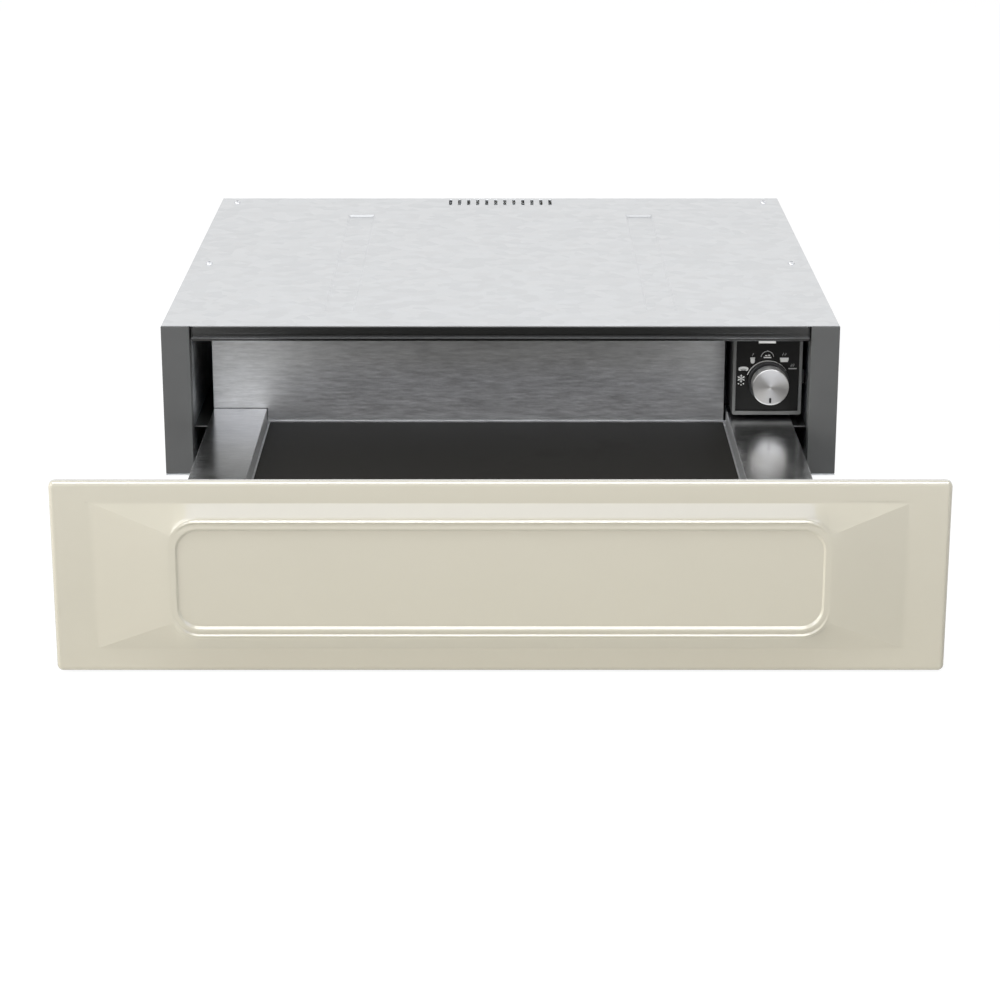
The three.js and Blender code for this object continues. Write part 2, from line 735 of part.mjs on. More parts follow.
piece(cabinet, "liner_floor", linerFloor(), darkPaint);
piece(cabinet, "liner_shell", linerShell(), darkPaint);
piece(cabinet, "liner_back", linerBack(), darkPaint);
piece(cabinet, "insulation_blanket", insulationBlanket(), mineralWool);
piece(cabinet, "insulation_floor", insulationFloor(), mineralWool);

// ---------------------------------------------------------------- runners

// Across a runner: u is counted from its mounting face towards the tray.
const runnerX = (u) => runnerFace - u;
const webGap = (MEMBER_SHEET - CAGE_SHEET) / 2; // leaves the outer cage the middle of its space
const middleWeb = OUTER_SHEET + MEMBER_SHEET; // u of the middle member's web
const innerTip = middleWeb + 2 * MEMBER_SHEET + CAGE_SHEET / 2; // u of the inner member's flange tips
const middleTip = RUNNER_WIDTH - OUTER_SHEET - SEAT;
const outerTip = RUNNER_WIDTH - 1.5;

function channel(tip, web, half, thickness) {
  return folded(
    [
      [runnerX(tip), runnerMiddle - half],
      [runnerX(web), runnerMiddle - half],
      [runnerX(web), runnerMiddle + half],
      [runnerX(tip), runnerMiddle + half],
    ],
    thickness,
  );
}

function runnerBracket() {
  const section = folded([
    [postInner - SEAT, runnerMiddle + BRACKET_HEIGHT / 2],
    [bracketFace, runnerMiddle + BRACKET_HEIGHT / 2],
    [bracketFace, runnerMiddle - BRACKET_HEIGHT / 2],
    [postInner - SEAT, runnerMiddle - BRACKET_HEIGHT / 2],
  ]);
  return alongY(section, [casingFront, runnerRear]);
}

function runnerOuter() {
  const half = RUNNER_HEIGHT / 2;
  const section = folded(
    [
      [runnerX(outerTip), runnerMiddle - half + RACE_LIP],
      [runnerX(outerTip), runnerMiddle - half],
      [runnerX(0), runnerMiddle - half],
      [runnerX(0), runnerMiddle + half],
      [runnerX(outerTip), runnerMiddle + half],
      [runnerX(outerTip), runnerMiddle + half - RACE_LIP],
    ],
    OUTER_SHEET,
  );
  return alongY(section, [RUNNER_SETBACK, runnerRear]);
}

function runnerMiddleMember() {
  return alongY(channel(middleTip, middleWeb, middleOutside, MEMBER_SHEET), [RUNNER_SETBACK, runnerRear]);
}

function runnerInner() {
  const section = folded(
    [
      [runnerX(innerTip), runnerMiddle + innerOutside],
      [runnerX(RUNNER_WIDTH), runnerMiddle + innerOutside],
      [runnerX(RUNNER_WIDTH), runnerMiddle - innerOutside],
      [runnerX(innerTip), runnerMiddle - innerOutside],
    ],
    OUTER_SHEET,
  );
  return alongY(section, [RUNNER_SETBACK, runnerRear]);
}

// A channel of thin sheet that carries a row of balls in its top and in its bottom flange.
function ballCage(ballRadius, raceRadius, web, tip) {
  const length = (CAGE_BALLS - 1) * CAGE_BALL_PITCH + 2 * CAGE_END;
  const middle = (RUNNER_SETBACK + runnerRear) / 2;
  const half = raceRadius - BALL_GAP - ballRadius + CAGE_SHEET / 2;
  const section = channel(tip, web, half, CAGE_SHEET);
  const cage = alongY(section, [middle - length / 2, middle + length / 2]);
  const balls = row(CAGE_BALLS, CAGE_BALL_PITCH, middle).flatMap((y) =>
    [-1, 1].map((side) =>
      new THREE.SphereGeometry(ballRadius, 6, 5).translate(
        runnerX((web + tip) / 2),
        y,
        runnerMiddle + side * (half - CAGE_SHEET / 2),
      ),
    ),
  );
  return join(cage, ...balls);
}

pair(cabinet, "runner_bracket", runnerBracket(), darkPaint);
pair(cabinet, "runner_outer", runnerOuter(), runnerSteel);

const outerCages = new THREE.Group();
const middleMembers = new THREE.Group();
const innerCages = new THREE.Group();
outerCages.position.y = -travel / 4;
middleMembers.position.y = -travel / 2;
innerCages.position.y = (-3 * travel) / 4;
cabinet.add(outerCages, middleMembers, innerCages);

const outerCageWeb = OUTER_SHEET + webGap;
const innerCageWeb = middleWeb + MEMBER_SHEET + CAGE_SHEET;
pair(
  outerCages,
  "ball_cage_outer",
  ballCage(OUTER_BALL_RADIUS, outerInside, outerCageWeb, middleTip - OUTER_BALL_RADIUS),
  ballSteel,
);
pair(middleMembers, "runner_middle", runnerMiddleMember(), runnerSteel);
pair(
  innerCages,
  "ball_cage_inner",
  ballCage(INNER_BALL_RADIUS, middleInside, innerCageWeb, middleTip - CAGE_SHEET),
  ballSteel,
);
pair(drawer, "runner_inner", runnerInner(), runnerSteel);

// ---------------------------------------------------------------- control box

function controlHousing() {
  const front = fasciaRear + SEAT;
  const rear = front + CONTROL_DEPTH;
  const outside = slab([controlLeft, controlRight], [front, rear], [controlBottom, controlTop]);
  const inside = slab(
    [controlLeft + CONTROL_WALL, controlRight - CONTROL_WALL],
    [front - CONTROL_WALL, rear - CONTROL_WALL],
    [controlBottom + CONTROL_WALL, controlTop - CONTROL_WALL],
  );
  const hanger = slab(
    [bezelMiddleX - FLANGE, bezelMiddleX + FLANGE],
    [front + FLANGE, rear - FLANGE],
    [controlTop - CONTROL_WALL, roofBottom - SEAT],
  );
  const sideFoot = slab([controlRight - CONTROL_WALL, postInner - SEAT], [front + FLANGE, rear - FLANGE], [
    knobZ - FLANGE / 2,
    knobZ + FLANGE / 2,
  ]);
  const wireHole = slab(
    [bezelMiddleX - FLANGE / 2, bezelMiddleX + FLANGE / 2],
    [rear - 2 * CONTROL_WALL, rear + CONTROL_WALL],
    [controlTop - 2 * FLANGE, controlTop - FLANGE],
  );
  return join(cut(outside, inside, wireHole), hanger, sideFoot);
}

const lensX = bezelMiddleX + INDICATOR_SHIFT;
const lensZ = controlTop - BEZEL_TOP_BAR - SEAT - INDICATOR_HEIGHT / 2;

function controlBezel() {
  const depth = [CONTROL_SETBACK, CONTROL_SETBACK + BEZEL_THICKNESS];
  const outline = roundedRectangle([controlLeft, controlRight], [controlBottom, controlTop], BEZEL_CORNER);
  const opening = slab(
    [controlLeft + BEZEL_BAR, controlRight - BEZEL_BAR],
    [depth[0] - SHEET, depth[1] + SHEET],
    [controlBottom + BEZEL_BOTTOM_BAR, controlTop - BEZEL_TOP_BAR],
  );
  return cut(alongY(outline, depth, 3), opening);
}

// The black plate has a hole for the knob's shaft and a window for the light bar.
function controlFascia() {
  const plate = roundedRectangle(
    [controlLeft + SEAT, controlRight - SEAT],
    [controlBottom + SEAT, controlTop - SEAT],
    BEZEL_CORNER,
  );
  const shaftHole = new THREE.Path();
  shaftHole.absarc(knobX, knobZ, SHAFT_RADIUS + SHAFT_GAP, 0, 2 * Math.PI, true);
  plate.holes.push(shaftHole);
  const window = slab(
    [lensX - INDICATOR_WIDTH / 2 - SEAT, lensX + INDICATOR_WIDTH / 2 + SEAT],
    [fasciaFront - SHEET, fasciaRear + SHEET],
    [lensZ - INDICATOR_HEIGHT / 2 - SEAT, lensZ + INDICATOR_HEIGHT / 2 + SEAT],
  );
  return cut(alongY(plate, [fasciaFront, fasciaRear], 4), window);
}

function indicatorLens() {
  return slab(
    [lensX - INDICATOR_WIDTH / 2, lensX + INDICATOR_WIDTH / 2],
    [fasciaFront - INDICATOR_PROUD, fasciaRear],
    [lensZ - INDICATOR_HEIGHT / 2, lensZ + INDICATOR_HEIGHT / 2],
  );
}

const selectorFront = fasciaRear + SEAT;
const shaftEnd = selectorFront + SELECTOR_DEPTH / 2;

function selectorBody() {
  const plate = slab(
    [knobX - SELECTOR_WIDTH / 2, knobX + SELECTOR_WIDTH / 2],
    [selectorFront, selectorFront + CONTROL_WALL],
    [knobZ - SELECTOR_HEIGHT / 2, knobZ + SELECTOR_HEIGHT / 2],
  );
  const drum = turned(
    [
      [0, selectorFront],
      [SELECTOR_WIDTH / 2 - SHEET, selectorFront],
      [SELECTOR_WIDTH / 2 - SHEET, selectorFront + SELECTOR_DEPTH],
      [0, selectorFront + SELECTOR_DEPTH],
    ],
    20,
    knobX,
    knobZ,
  );
  const blades = row(3, SELECTOR_WIDTH / 4, knobX).map((x) =>
    slab(
      [x - SHEET / 2, x + SHEET / 2],
      [selectorFront + SELECTOR_DEPTH - SHEET, selectorFront + SELECTOR_DEPTH + FLANGE / 2],
      [knobZ - FLANGE / 4, knobZ + FLANGE / 4],
    ),
  );
  const bore = turned(
    [
      [0, selectorFront - SHEET],
      [SHAFT_RADIUS + SHAFT_GAP, selectorFront - SHEET],
      [SHAFT_RADIUS + SHAFT_GAP, shaftEnd + SEAT],
      [0, shaftEnd + SEAT],
    ],
    16,
    knobX,
    knobZ,
  );
  return cut(join(plate, drum, ...blades), bore);
}

function knobCap() {
  const edge = KNOB_CAP_EDGE;
  const inner = KNOB_CAP_RADIUS - KNOB_CAP_WALL;
  const rear = capFront + KNOB_CAP_DEPTH;
  const cup = turned(
    [
      [0, capFront],
      [KNOB_CAP_RADIUS - edge, capFront],
      [KNOB_CAP_RADIUS - edge * 0.3, capFront + edge * 0.3],
      [KNOB_CAP_RADIUS, capFront + edge],
      [KNOB_CAP_RADIUS, rear],
      [inner, rear],
      [inner, capFront + KNOB_CAP_WALL],
      [0, capFront + KNOB_CAP_WALL],
    ],
    40,
    knobX,
    knobZ,
  );
  const pointer = slab(
    [knobX - POINTER_WIDTH / 2, knobX + POINTER_WIDTH / 2],
    [capFront - SHEET, capFront + KNOB_CAP_WALL + SEAT],
    [knobZ - POINTER_OUTER, knobZ - POINTER_INNER],
  );
  return cut(cup, pointer);
}

function knob() {
  const core = KNOB_CAP_RADIUS - KNOB_CAP_WALL - SEAT;
  const coreFront = capFront + KNOB_CAP_WALL + SEAT;
  const skirtRear = fasciaFront - KNOB_GAP;
  const skirtFront = skirtRear - KNOB_SKIRT_DEPTH;
  return turned(
    [
      [0, coreFront],
      [core, coreFront],
      [core, skirtFront],
      [KNOB_SKIRT_RADIUS - KNOB_CAP_EDGE, skirtFront],
      [KNOB_SKIRT_RADIUS, skirtFront + KNOB_CAP_EDGE],
      [KNOB_SKIRT_RADIUS, skirtRear],
      [SHAFT_RADIUS, skirtRear],
      [SHAFT_RADIUS, shaftEnd],
      [0, shaftEnd],
    ],
    40,
    knobX,
    knobZ,
  );
}

piece(cabinet, "control_housing", controlHousing(), blackPlastic);
piece(cabinet, "control_bezel", controlBezel(), blackPlastic);
piece(cabinet, "control_fascia", controlFascia(), glossFascia);
piece(cabinet, "indicator_lens", indicatorLens(), whiteLens);
piece(cabinet, "selector_switch", selectorBody(), whitePlastic);
piece(cabinet, "knob", knob(), blackPlastic);
piece(cabinet, "knob_cap", knobCap(), spunMetal);

// ---------------------------------------------------------------- air and heat

const scrollHalf = ROTOR_LENGTH / 2 + ROTOR_GAP;

// A spiral wall from the mouth in the back plate, over the rotor and down behind it.
function blowerScroll() {
  const steps = 14;
  const spiral = Array.from({ length: steps + 1 }, (_, i) => {
    const angle = Math.PI / 2 - (scrollSweep * i) / steps;
    const radius = scrollInner + SCROLL_GROWTH * (1 - i / steps);
    return [compartmentMiddle + radius * Math.cos(angle), rotorZ + radius * Math.sin(angle)];
  });
  const mouth = [backPlateRear + SEAT, spiral[0][1]];
  const wall = alongX(folded([mouth, ...spiral]), [-scrollHalf - SHEET, scrollHalf + SHEET]);
  const lip = alongX(
    folded([
      [compartmentMiddle - scrollInner, rotorZ - SHEET],
      [backPlateRear + SEAT, rotorZ - SHEET],
    ]),
    [-scrollHalf - SHEET, scrollHalf + SHEET],
  );
  const endOutline = polygon([
    [backPlateRear + SEAT, rotorZ - scrollInner],
    [rearInside - SEAT, rotorZ - scrollInner],
    [rearInside - SEAT, rotorZ + scrollInner],
    [compartmentMiddle, rotorZ + scrollInner + SCROLL_GROWTH + SHEET],
    [backPlateRear + SEAT, rotorZ + scrollInner + SCROLL_GROWTH + SHEET],
  ]);
  const bearing = new THREE.Path();
  bearing.absarc(compartmentMiddle, rotorZ, ROTOR_SHAFT_RADIUS + SHAFT_GAP, 0, 2 * Math.PI, true);
  endOutline.holes.push(bearing);
  const ends = [-1, 1].map((side) => {
    const x = side * scrollHalf + (side < 0 ? -SHEET : 0);
    return alongX(endOutline, [x, x + SHEET], 5);
  });
  return join(wall, lip, ...ends);
}

// Forward-curved blades between two end discs and a middle disc, on one shaft.
function blowerRotor() {
  const half = ROTOR_LENGTH / 2;
  const disc = (x) =>
    turnedX(
      [
        [0, x],
        [ROTOR_RADIUS, x],
        [ROTOR_RADIUS, x + ROTOR_DISC],
        [0, x + ROTOR_DISC],
      ],
      2 * ROTOR_BLADES,
      compartmentMiddle,
      rotorZ,
    );
  const bladePath = [0, 1, 2].map((i) => {
    const radius = ROTOR_HUB_RADIUS + ((ROTOR_RADIUS - ROTOR_HUB_RADIUS - SEAT) * i) / 2;
    const lean = 0.07 * i * i;
    return [radius * Math.cos(lean), radius * Math.sin(lean)];
  });
  const blade = alongX(folded(bladePath, SHEET / 2), [-half + ROTOR_DISC / 2, half - ROTOR_DISC / 2]);
  const blades = Array.from({ length: ROTOR_BLADES }, (_, i) =>
    blade
      .clone()
      .rotateX((2 * Math.PI * i) / ROTOR_BLADES)
      .translate(0, compartmentMiddle, rotorZ),
  );
  const shaft = turnedX(
    [
      [0, -scrollHalf - FLANGE / 2],
      [ROTOR_SHAFT_RADIUS, -scrollHalf - FLANGE / 2],
      [ROTOR_SHAFT_RADIUS, scrollHalf + FLANGE],
      [0, scrollHalf + FLANGE],
    ],
    10,
    compartmentMiddle,
    rotorZ,
  );
  return join(shaft, disc(-half), disc(-ROTOR_DISC / 2), disc(half - ROTOR_DISC), ...blades);
}

function blowerMotor() {
  const front = scrollHalf + SHEET + SEAT;
  const half = MOTOR_SIZE / 2;
  const stack = alongX(
    roundedRectangle(
      [compartmentMiddle - half, compartmentMiddle + half],
      [rotorZ - half, rotorZ + half],
      MOTOR_SIZE / 8,
    ),
    [front + MOTOR_LENGTH / 4, front + (MOTOR_LENGTH * 3) / 4],
    3,
  );
  const bell = turnedX(
    [
      [0, front],
      [half * 0.6, front],
      [half * 0.8, front + MOTOR_LENGTH / 5],
      [half * 0.8, front + (MOTOR_LENGTH * 4) / 5],
      [half * 0.6, front + MOTOR_LENGTH],
      [0, front + MOTOR_LENGTH],
    ],
    16,
    compartmentMiddle,
    rotorZ,
  );
  const bore = turnedX(
    [
      [0, front - SHEET],
      [ROTOR_SHAFT_RADIUS + SHAFT_GAP, front - SHEET],
      [ROTOR_SHAFT_RADIUS + SHAFT_GAP, scrollHalf + FLANGE + SEAT],
      [0, scrollHalf + FLANGE + SEAT],
    ],
    10,
    compartmentMiddle,
    rotorZ,
  );
  return cut(join(stack, bell), bore);
}

// A hairpin of sheathed element lying across the air on its way up to the blower.
function heaterElement() {
  const low = floorTop + HEATER_LIFT;
  const left = -HEATER_SPAN / 2;
  const right = HEATER_SPAN / 2;
  const points = [[left, low], [0, low], [right, low]];
  for (let i = 1; i < 8; i += 1) {
    const angle = -Math.PI / 2 + (Math.PI * i) / 8;
    points.push([right + HEATER_BEND * Math.cos(angle), low + HEATER_BEND * (1 + Math.sin(angle))]);
  }
  points.push([right, low + 2 * HEATER_BEND], [0, low + 2 * HEATER_BEND], [left, low + 2 * HEATER_BEND]);
  const route = new THREE.CatmullRomCurve3(
    points.map(([x, z]) => new THREE.Vector3(x, compartmentMiddle, z)),
    false,
    "centripetal",
  );
  const section = new THREE.Shape();
  section.absarc(0, 0, HEATER_RADIUS, 0, 2 * Math.PI);
  const tube = new THREE.ExtrudeGeometry(section, {
    steps: 40,
    bevelEnabled: false,
    extrudePath: route,
    curveSegments: 4,
  });
  const holder = slab(
    [left - SHEET, left + 2 * SHEET],
    [backPlateRear + SEAT, compartmentMiddle + 2 * HEATER_RADIUS],
    [low - 2 * HEATER_RADIUS, low + 2 * HEATER_BEND + 2 * HEATER_RADIUS],
  );
  return join(tube, holder);
}

function temperatureSensor() {
  return turned(
    [
      [0, chamberDepth - 2 * FLANGE],
      [SENSOR_RADIUS, chamberDepth - 2 * FLANGE],
      [SENSOR_RADIUS, backPlateRear + SEAT],
      [3 * SENSOR_RADIUS, backPlateRear + SEAT],
      [3 * SENSOR_RADIUS, backPlateRear + SEAT + SHEET],
      [2 * SENSOR_RADIUS, backPlateRear + SEAT + SHEET],
      [2 * SENSOR_RADIUS, backPlateRear + FLANGE],
      [0, backPlateRear + FLANGE],
    ],
    12,
    sensorX,
    sensorZ,
  );
}

function safetyCutout() {
  const x = bodyHalf - CUTOUT_FROM_SIDE;
  const z = floorTop + CUTOUT_LIFT;
  const front = backPlateRear + SEAT;
  const disc = turned(
    [
      [0, front],
      [CUTOUT_RADIUS, front],
      [CUTOUT_RADIUS, front + CUTOUT_RADIUS],
      [0, front + CUTOUT_RADIUS],
    ],
    18,
    x,
    z,
  );
  const flange = slab(
    [x - 1.8 * CUTOUT_RADIUS, x + 1.8 * CUTOUT_RADIUS],
    [front, front + SHEET],
    [z - CUTOUT_RADIUS / 2, z + CUTOUT_RADIUS / 2],
  );
  const tabs = [-1, 1].map((side) =>
    slab(
      [x + side * (CUTOUT_RADIUS / 2) - SHEET, x + side * (CUTOUT_RADIUS / 2) + SHEET],
      [front + CUTOUT_RADIUS - SHEET, front + CUTOUT_RADIUS + FLANGE / 2],
      [z - CUTOUT_RADIUS / 3, z + CUTOUT_RADIUS / 3],
    ),
  );
  return join(disc, flange, ...tabs);
}

function terminalBlock() {
  const middle = TERMINAL_FROM_SIDE - bodyHalf;
  const half = (TERMINAL_POLES * TERMINAL_PITCH) / 2 + SHEET;
  const front = backPlateRear + SEAT;
  const rear = front + 2 * FLANGE;
  const low = floorTop + SEAT;
  const block = slab([middle - half, middle + half], [front, rear], [low, low + 1.5 * FLANGE]);
  const wells = row(TERMINAL_POLES, TERMINAL_PITCH, middle).map((x) =>
    slab(
      [x - TERMINAL_PITCH / 3, x + TERMINAL_PITCH / 3],
      [front + FLANGE / 2, rear - FLANGE / 2],
      [low + FLANGE, low + 2 * FLANGE],
    ),
  );
  const mouths = row(TERMINAL_POLES, TERMINAL_PITCH, middle).map((x) =>
    slab(
      [x - TERMINAL_PITCH / 4, x + TERMINAL_PITCH / 4],
      [rear - FLANGE / 3, rear + SHEET],
      [low + FLANGE / 3, low + FLANGE * 0.8],
    ),
  );
  return cut(block, ...wells, ...mouths);
}

// The cable's way in through the rear panel: a flanged bush with a locking ring inside.
function cableGland() {
  const inner = BODY_DEPTH - SHEET - SEAT;
  const outer = BODY_DEPTH + SEAT;
  return turned(
    [
      [GLAND_BORE, inner - FLANGE],
      [GLAND_RADIUS, inner - FLANGE],
      [GLAND_RADIUS, inner - FLANGE / 2],
      [GLAND_RADIUS * 1.4, inner - FLANGE / 2],
      [GLAND_RADIUS * 1.4, inner],
      [GLAND_RADIUS, inner],
      [GLAND_RADIUS, outer],
      [GLAND_RADIUS * 1.4, outer],
      [GLAND_RADIUS * 1.2, outer + 2 * SHEET],
      [GLAND_BORE, outer + 2 * SHEET],
      [GLAND_BORE, inner - FLANGE],
    ],
    18,
    glandX,
    glandZ,
  );
}

piece(cabinet, "blower_scroll", blowerScroll(), zincSheet);
piece(cabinet, "blower_rotor", blowerRotor(), runnerSteel);
piece(cabinet, "blower_motor", blowerMotor(), runnerSteel);
piece(cabinet, "heater_element", heaterElement(), heaterSheath);
piece(cabinet, "temperature_sensor", temperatureSensor(), runnerSteel);
piece(cabinet, "safety_cutout", safetyCutout(), blackPlastic);
piece(cabinet, "terminal_block", terminalBlock(), whitePlastic);
piece(cabinet, "cable_gland", cableGland(), blackPlastic);

// ---------------------------------------------------------------- latch and door sensing

const carriageFront = LATCH_SETBACK + SEAT;

function latchHousing() {
  const low = floorTop + SEAT;
  const channelHalf = CARRIAGE_WIDTH / 2 + LATCH_SLIDE_GAP;
  const channelTop = carriageFloor + CARRIAGE_HEIGHT + 2 * LATCH_SLIDE_GAP;
  const body = slab(
    [-LATCH_WIDTH / 2, LATCH_WIDTH / 2],
    [LATCH_SETBACK, LATCH_SETBACK + LATCH_LENGTH],
    [low, channelTop + LATCH_WALL / 2],
  );
  const feet = slab(
    [-LATCH_WIDTH / 2 - FLANGE / 2, LATCH_WIDTH / 2 + FLANGE / 2],
    [LATCH_SETBACK + FLANGE, LATCH_SETBACK + LATCH_LENGTH - FLANGE],
    [low, low + LATCH_WALL / 2],
  );
  const track = slab(
    [-channelHalf, channelHalf],
    [LATCH_SETBACK - SHEET, carriageFront + CARRIAGE_LENGTH + CARRIAGE_TRAVEL + LATCH_SLIDE_GAP],
    [carriageFloor, channelTop],
  );
  return cut(join(body, feet), track);
}

function latchCarriage() {
  const block = slab(
    [-CARRIAGE_WIDTH / 2, CARRIAGE_WIDTH / 2],
    [carriageFront, carriageFront + CARRIAGE_LENGTH],
    [carriageMiddle - CARRIAGE_HEIGHT / 2, carriageMiddle + CARRIAGE_HEIGHT / 2],
  );
  const slotHalf = STRIKER_WIDTH / 2 + STRIKER_CLEARANCE;
  const slot = slab(
    [-slotHalf, slotHalf],
    [carriageFront - SHEET, carriageFront + CARRIAGE_SLOT],
    [carriageMiddle - STRIKER_HEIGHT / 2 - STRIKER_CLEARANCE, carriageMiddle + CARRIAGE_HEIGHT],
  );
  return cut(block, slot);
}

// A plate on the front panel with the tongue that enters the carriage.
function latchStriker() {
  const tip = carriageFront + CARRIAGE_SLOT - CARRIAGE_TRAVEL - STRIKER_CLEARANCE;
  const plate = slab(
    [-LATCH_WIDTH / 2, LATCH_WIDTH / 2],
    [linerRear + SEAT, linerRear + SEAT + 2 * SHEET],
    [carriageMiddle - STRIKER_HEIGHT / 2 - SHEET / 2, carriageMiddle + CARRIAGE_HEIGHT / 2],
  );
  const tongue = slab(
    [-STRIKER_WIDTH / 2, STRIKER_WIDTH / 2],
    [linerRear + SEAT, tip],
    [carriageMiddle - STRIKER_HEIGHT / 2, carriageMiddle + STRIKER_HEIGHT / 2],
  );
  return join(plate, tongue);
}

const SENSING_LENGTH = 26;
const SENSING_HEIGHT = 6;

function reedSwitch() {
  return slab(
    [REED_X - SENSING_LENGTH / 2, REED_X + SENSING_LENGTH / 2],
    [FLANGE, FLANGE * 2],
    [floorTop + SEAT, floorTop + SEAT + SENSING_HEIGHT],
  );
}

function doorMagnet() {
  const low = floorTop + SHEET + FLANGE / 4;
  return slab(
    [REED_X - SENSING_LENGTH / 3, REED_X + SENSING_LENGTH / 3],
    [linerRear + SEAT, linerRear + SEAT + GASKET_THICKNESS],
    [low, low + SENSING_HEIGHT],
  );
}

piece(cabinet, "latch_housing", latchHousing(), blackPlastic);
piece(cabinet, "latch_carriage", latchCarriage(), whitePlastic);
piece(cabinet, "reed_switch", reedSwitch(), blackPlastic);
piece(drawer, "latch_striker", latchStriker(), whitePlastic);
piece(drawer, "door_magnet", doorMagnet(), blackPlastic);

// ---------------------------------------------------------------- front panel

// The points of a rounded rectangle at depth y, about the panel's middle or a place lift above it.
// A radius of 0 gives a sharp corner with as many points, so a loft fans out from it.
function panelRing(halfWidth, halfHeight, radius, y, lift = 0) {
  const points = [];
  for (let corner = 0; corner < 4; corner += 1) {
    const signX = corner === 0 || corner === 3 ? 1 : -1;
    const signZ = corner < 2 ? 1 : -1;
    for (let i = 0; i <= CORNER_STEPS; i += 1) {
      const angle = (corner + i / CORNER_STEPS) * (Math.PI / 2);
      points.push([
        signX * (halfWidth - radius) + radius * Math.cos(angle),
        y,
        panelMiddle + lift + signZ * (halfHeight - radius) + radius * Math.sin(angle),
      ]);
    }
  }
  return points;
}

// One face of the pressed skin, from the edge of its return to the recessed field.
function skinFace(inward) {
  const halfWidth = panelHalf - inward;
  const halfHeight = panelHeight / 2 - inward;
  const edge = SKIN_EDGE_RADIUS - inward;
  const rings = [panelRing(halfWidth, halfHeight, SKIN_CORNER_RADIUS - inward, skinFront + SKIN_RETURN)];
  for (let i = 0; i <= 4; i += 1) {
    const angle = (i / 4) * (Math.PI / 2);
    const inset = edge * (1 - Math.cos(angle));
    const depth = skinFront + inward + edge * (1 - Math.sin(angle));
    rings.push(
      panelRing(halfWidth - inset, halfHeight - inset, SKIN_CORNER_RADIUS - inward - inset, depth),
    );
  }
  const footWidth = panelHalf - BORDER_SIDE;
  const footHeight = panelHeight / 2 - BORDER_HEIGHT;
  rings.push(panelRing(footWidth, footHeight, 0, skinFront + inward, RAISED_LIFT));
  const crest = skinFront - RAISED_HEIGHT + inward;
  // The bead's section from its outer edge to the field: share of its width, and depth.
  const ridge = BEAD_RIDGE / BEAD_LEVEL;
  const steps = [
    [0, BEAD_ROUNDING],
    [ridge * 0.25, BEAD_ROUNDING * 0.15],
    [ridge * 0.65, 0],
    [ridge * 1.2, BEAD_ROUNDING * 0.5],
    [0.85, BEAD_ROUNDING * 0.4],
    [1, BEAD_ROUNDING],
    [1 + FIELD_WALL / BEAD_LEVEL, FIELD_RECESS],
  ];
  const radiusLoss = (BEAD_CORNER_RADIUS - FIELD_CORNER_RADIUS) / (BEAD_LEVEL + FIELD_WALL);
  for (const [share, depth] of steps) {
    rings.push(
      panelRing(
        footWidth - RAISED_SIDE - share * BEAD_SIDE,
        footHeight - RAISED_RISE - share * BEAD_LEVEL,
        BEAD_CORNER_RADIUS - share * BEAD_LEVEL * radiusLoss,
        crest + depth,
        RAISED_LIFT,
      ),
    );
  }
  return rings;
}

function frontSkin() {
  return lofted([...skinFace(0).reverse(), ...skinFace(SKIN)].reverse());
}

function frontLiner() {
  const outline = roundedRectangle([-linerHalf, linerHalf], [LINER_LIFT, linerTop], LINER_CORNER);
  const inside = roundedRectangle(
    [-linerHalf + SHEET, linerHalf - SHEET],
    [LINER_LIFT + SHEET, linerTop - SHEET],
    LINER_CORNER - SHEET,
  );
  const front = skinFront + SKIN + SEAT;
  return cut(alongY(outline, [front, linerRear]), alongY(inside, [front - SHEET, linerRear - SHEET]));
}

function frontInsulation() {
  const inset = SHEET + SEAT;
  const outline = roundedRectangle(
    [-linerHalf + inset, linerHalf - inset],
    [LINER_LIFT + inset, linerTop - inset],
    LINER_CORNER - SHEET,
  );
  return alongY(outline, [skinFront + SKIN + SEAT, linerRear - inset]);
}

function frontGasket() {
  const half = bodyHalf - POST_WIDTH / 2 + GASKET_WIDTH / 2;
  const low = LINER_LIFT + SEAT;
  const high = linerTop - LINER_TOP_DROP;
  const ring = roundedRectangle([-half, half], [low, high], GASKET_CORNER);
  ring.holes.push(
    roundedRectangle(
      [-half + GASKET_WIDTH, half - GASKET_WIDTH],
      [low + GASKET_WIDTH, high - GASKET_WIDTH],
      GASKET_CORNER - GASKET_WIDTH,
      new THREE.Path(),
    ),
  );
  return alongY(ring, [linerRear + SEAT, linerRear + SEAT + GASKET_THICKNESS]);
}

// An angle that ties a side channel of the tray to the inner pan of the front panel.
function frontBracket() {
  const thickness = 1.5 * SHEET;
  const outer = channelFace - SHEET - SEAT;
  const section = folded(
    [
      [outer, 3 * FLANGE],
      [outer, linerRear + SEAT],
      [outer - 1.8 * FLANGE, linerRear + SEAT],
    ].reverse(),
    thickness,
  );
  const low = floorTop + SIDE_CHANNEL_LIFT + SHEET + SEAT;
  return alongZ(section, [low, panTop - SHEET - SEAT]);
}

piece(drawer, "front_skin", frontSkin(), creamEnamel);
piece(drawer, "front_liner", frontLiner(), darkPaint);
piece(drawer, "front_insulation", frontInsulation(), mineralWool);
piece(drawer, "front_gasket", frontGasket(), gasketRubber);
pair(drawer, "front_bracket", frontBracket(), zincSheet);

// ---------------------------------------------------------------- tray

const channelFront = trayFront + 2 * SHEET;

function sideChannel() {
  const low = floorTop + SIDE_CHANNEL_LIFT;
  const section = folded([
    [channelFace - FLANGE, low],
    [channelFace, low],
    [channelFace, panTop],
    [channelFace - FLANGE, panTop],
  ]);
  return alongY(section, [channelFront, wallFront]);
}

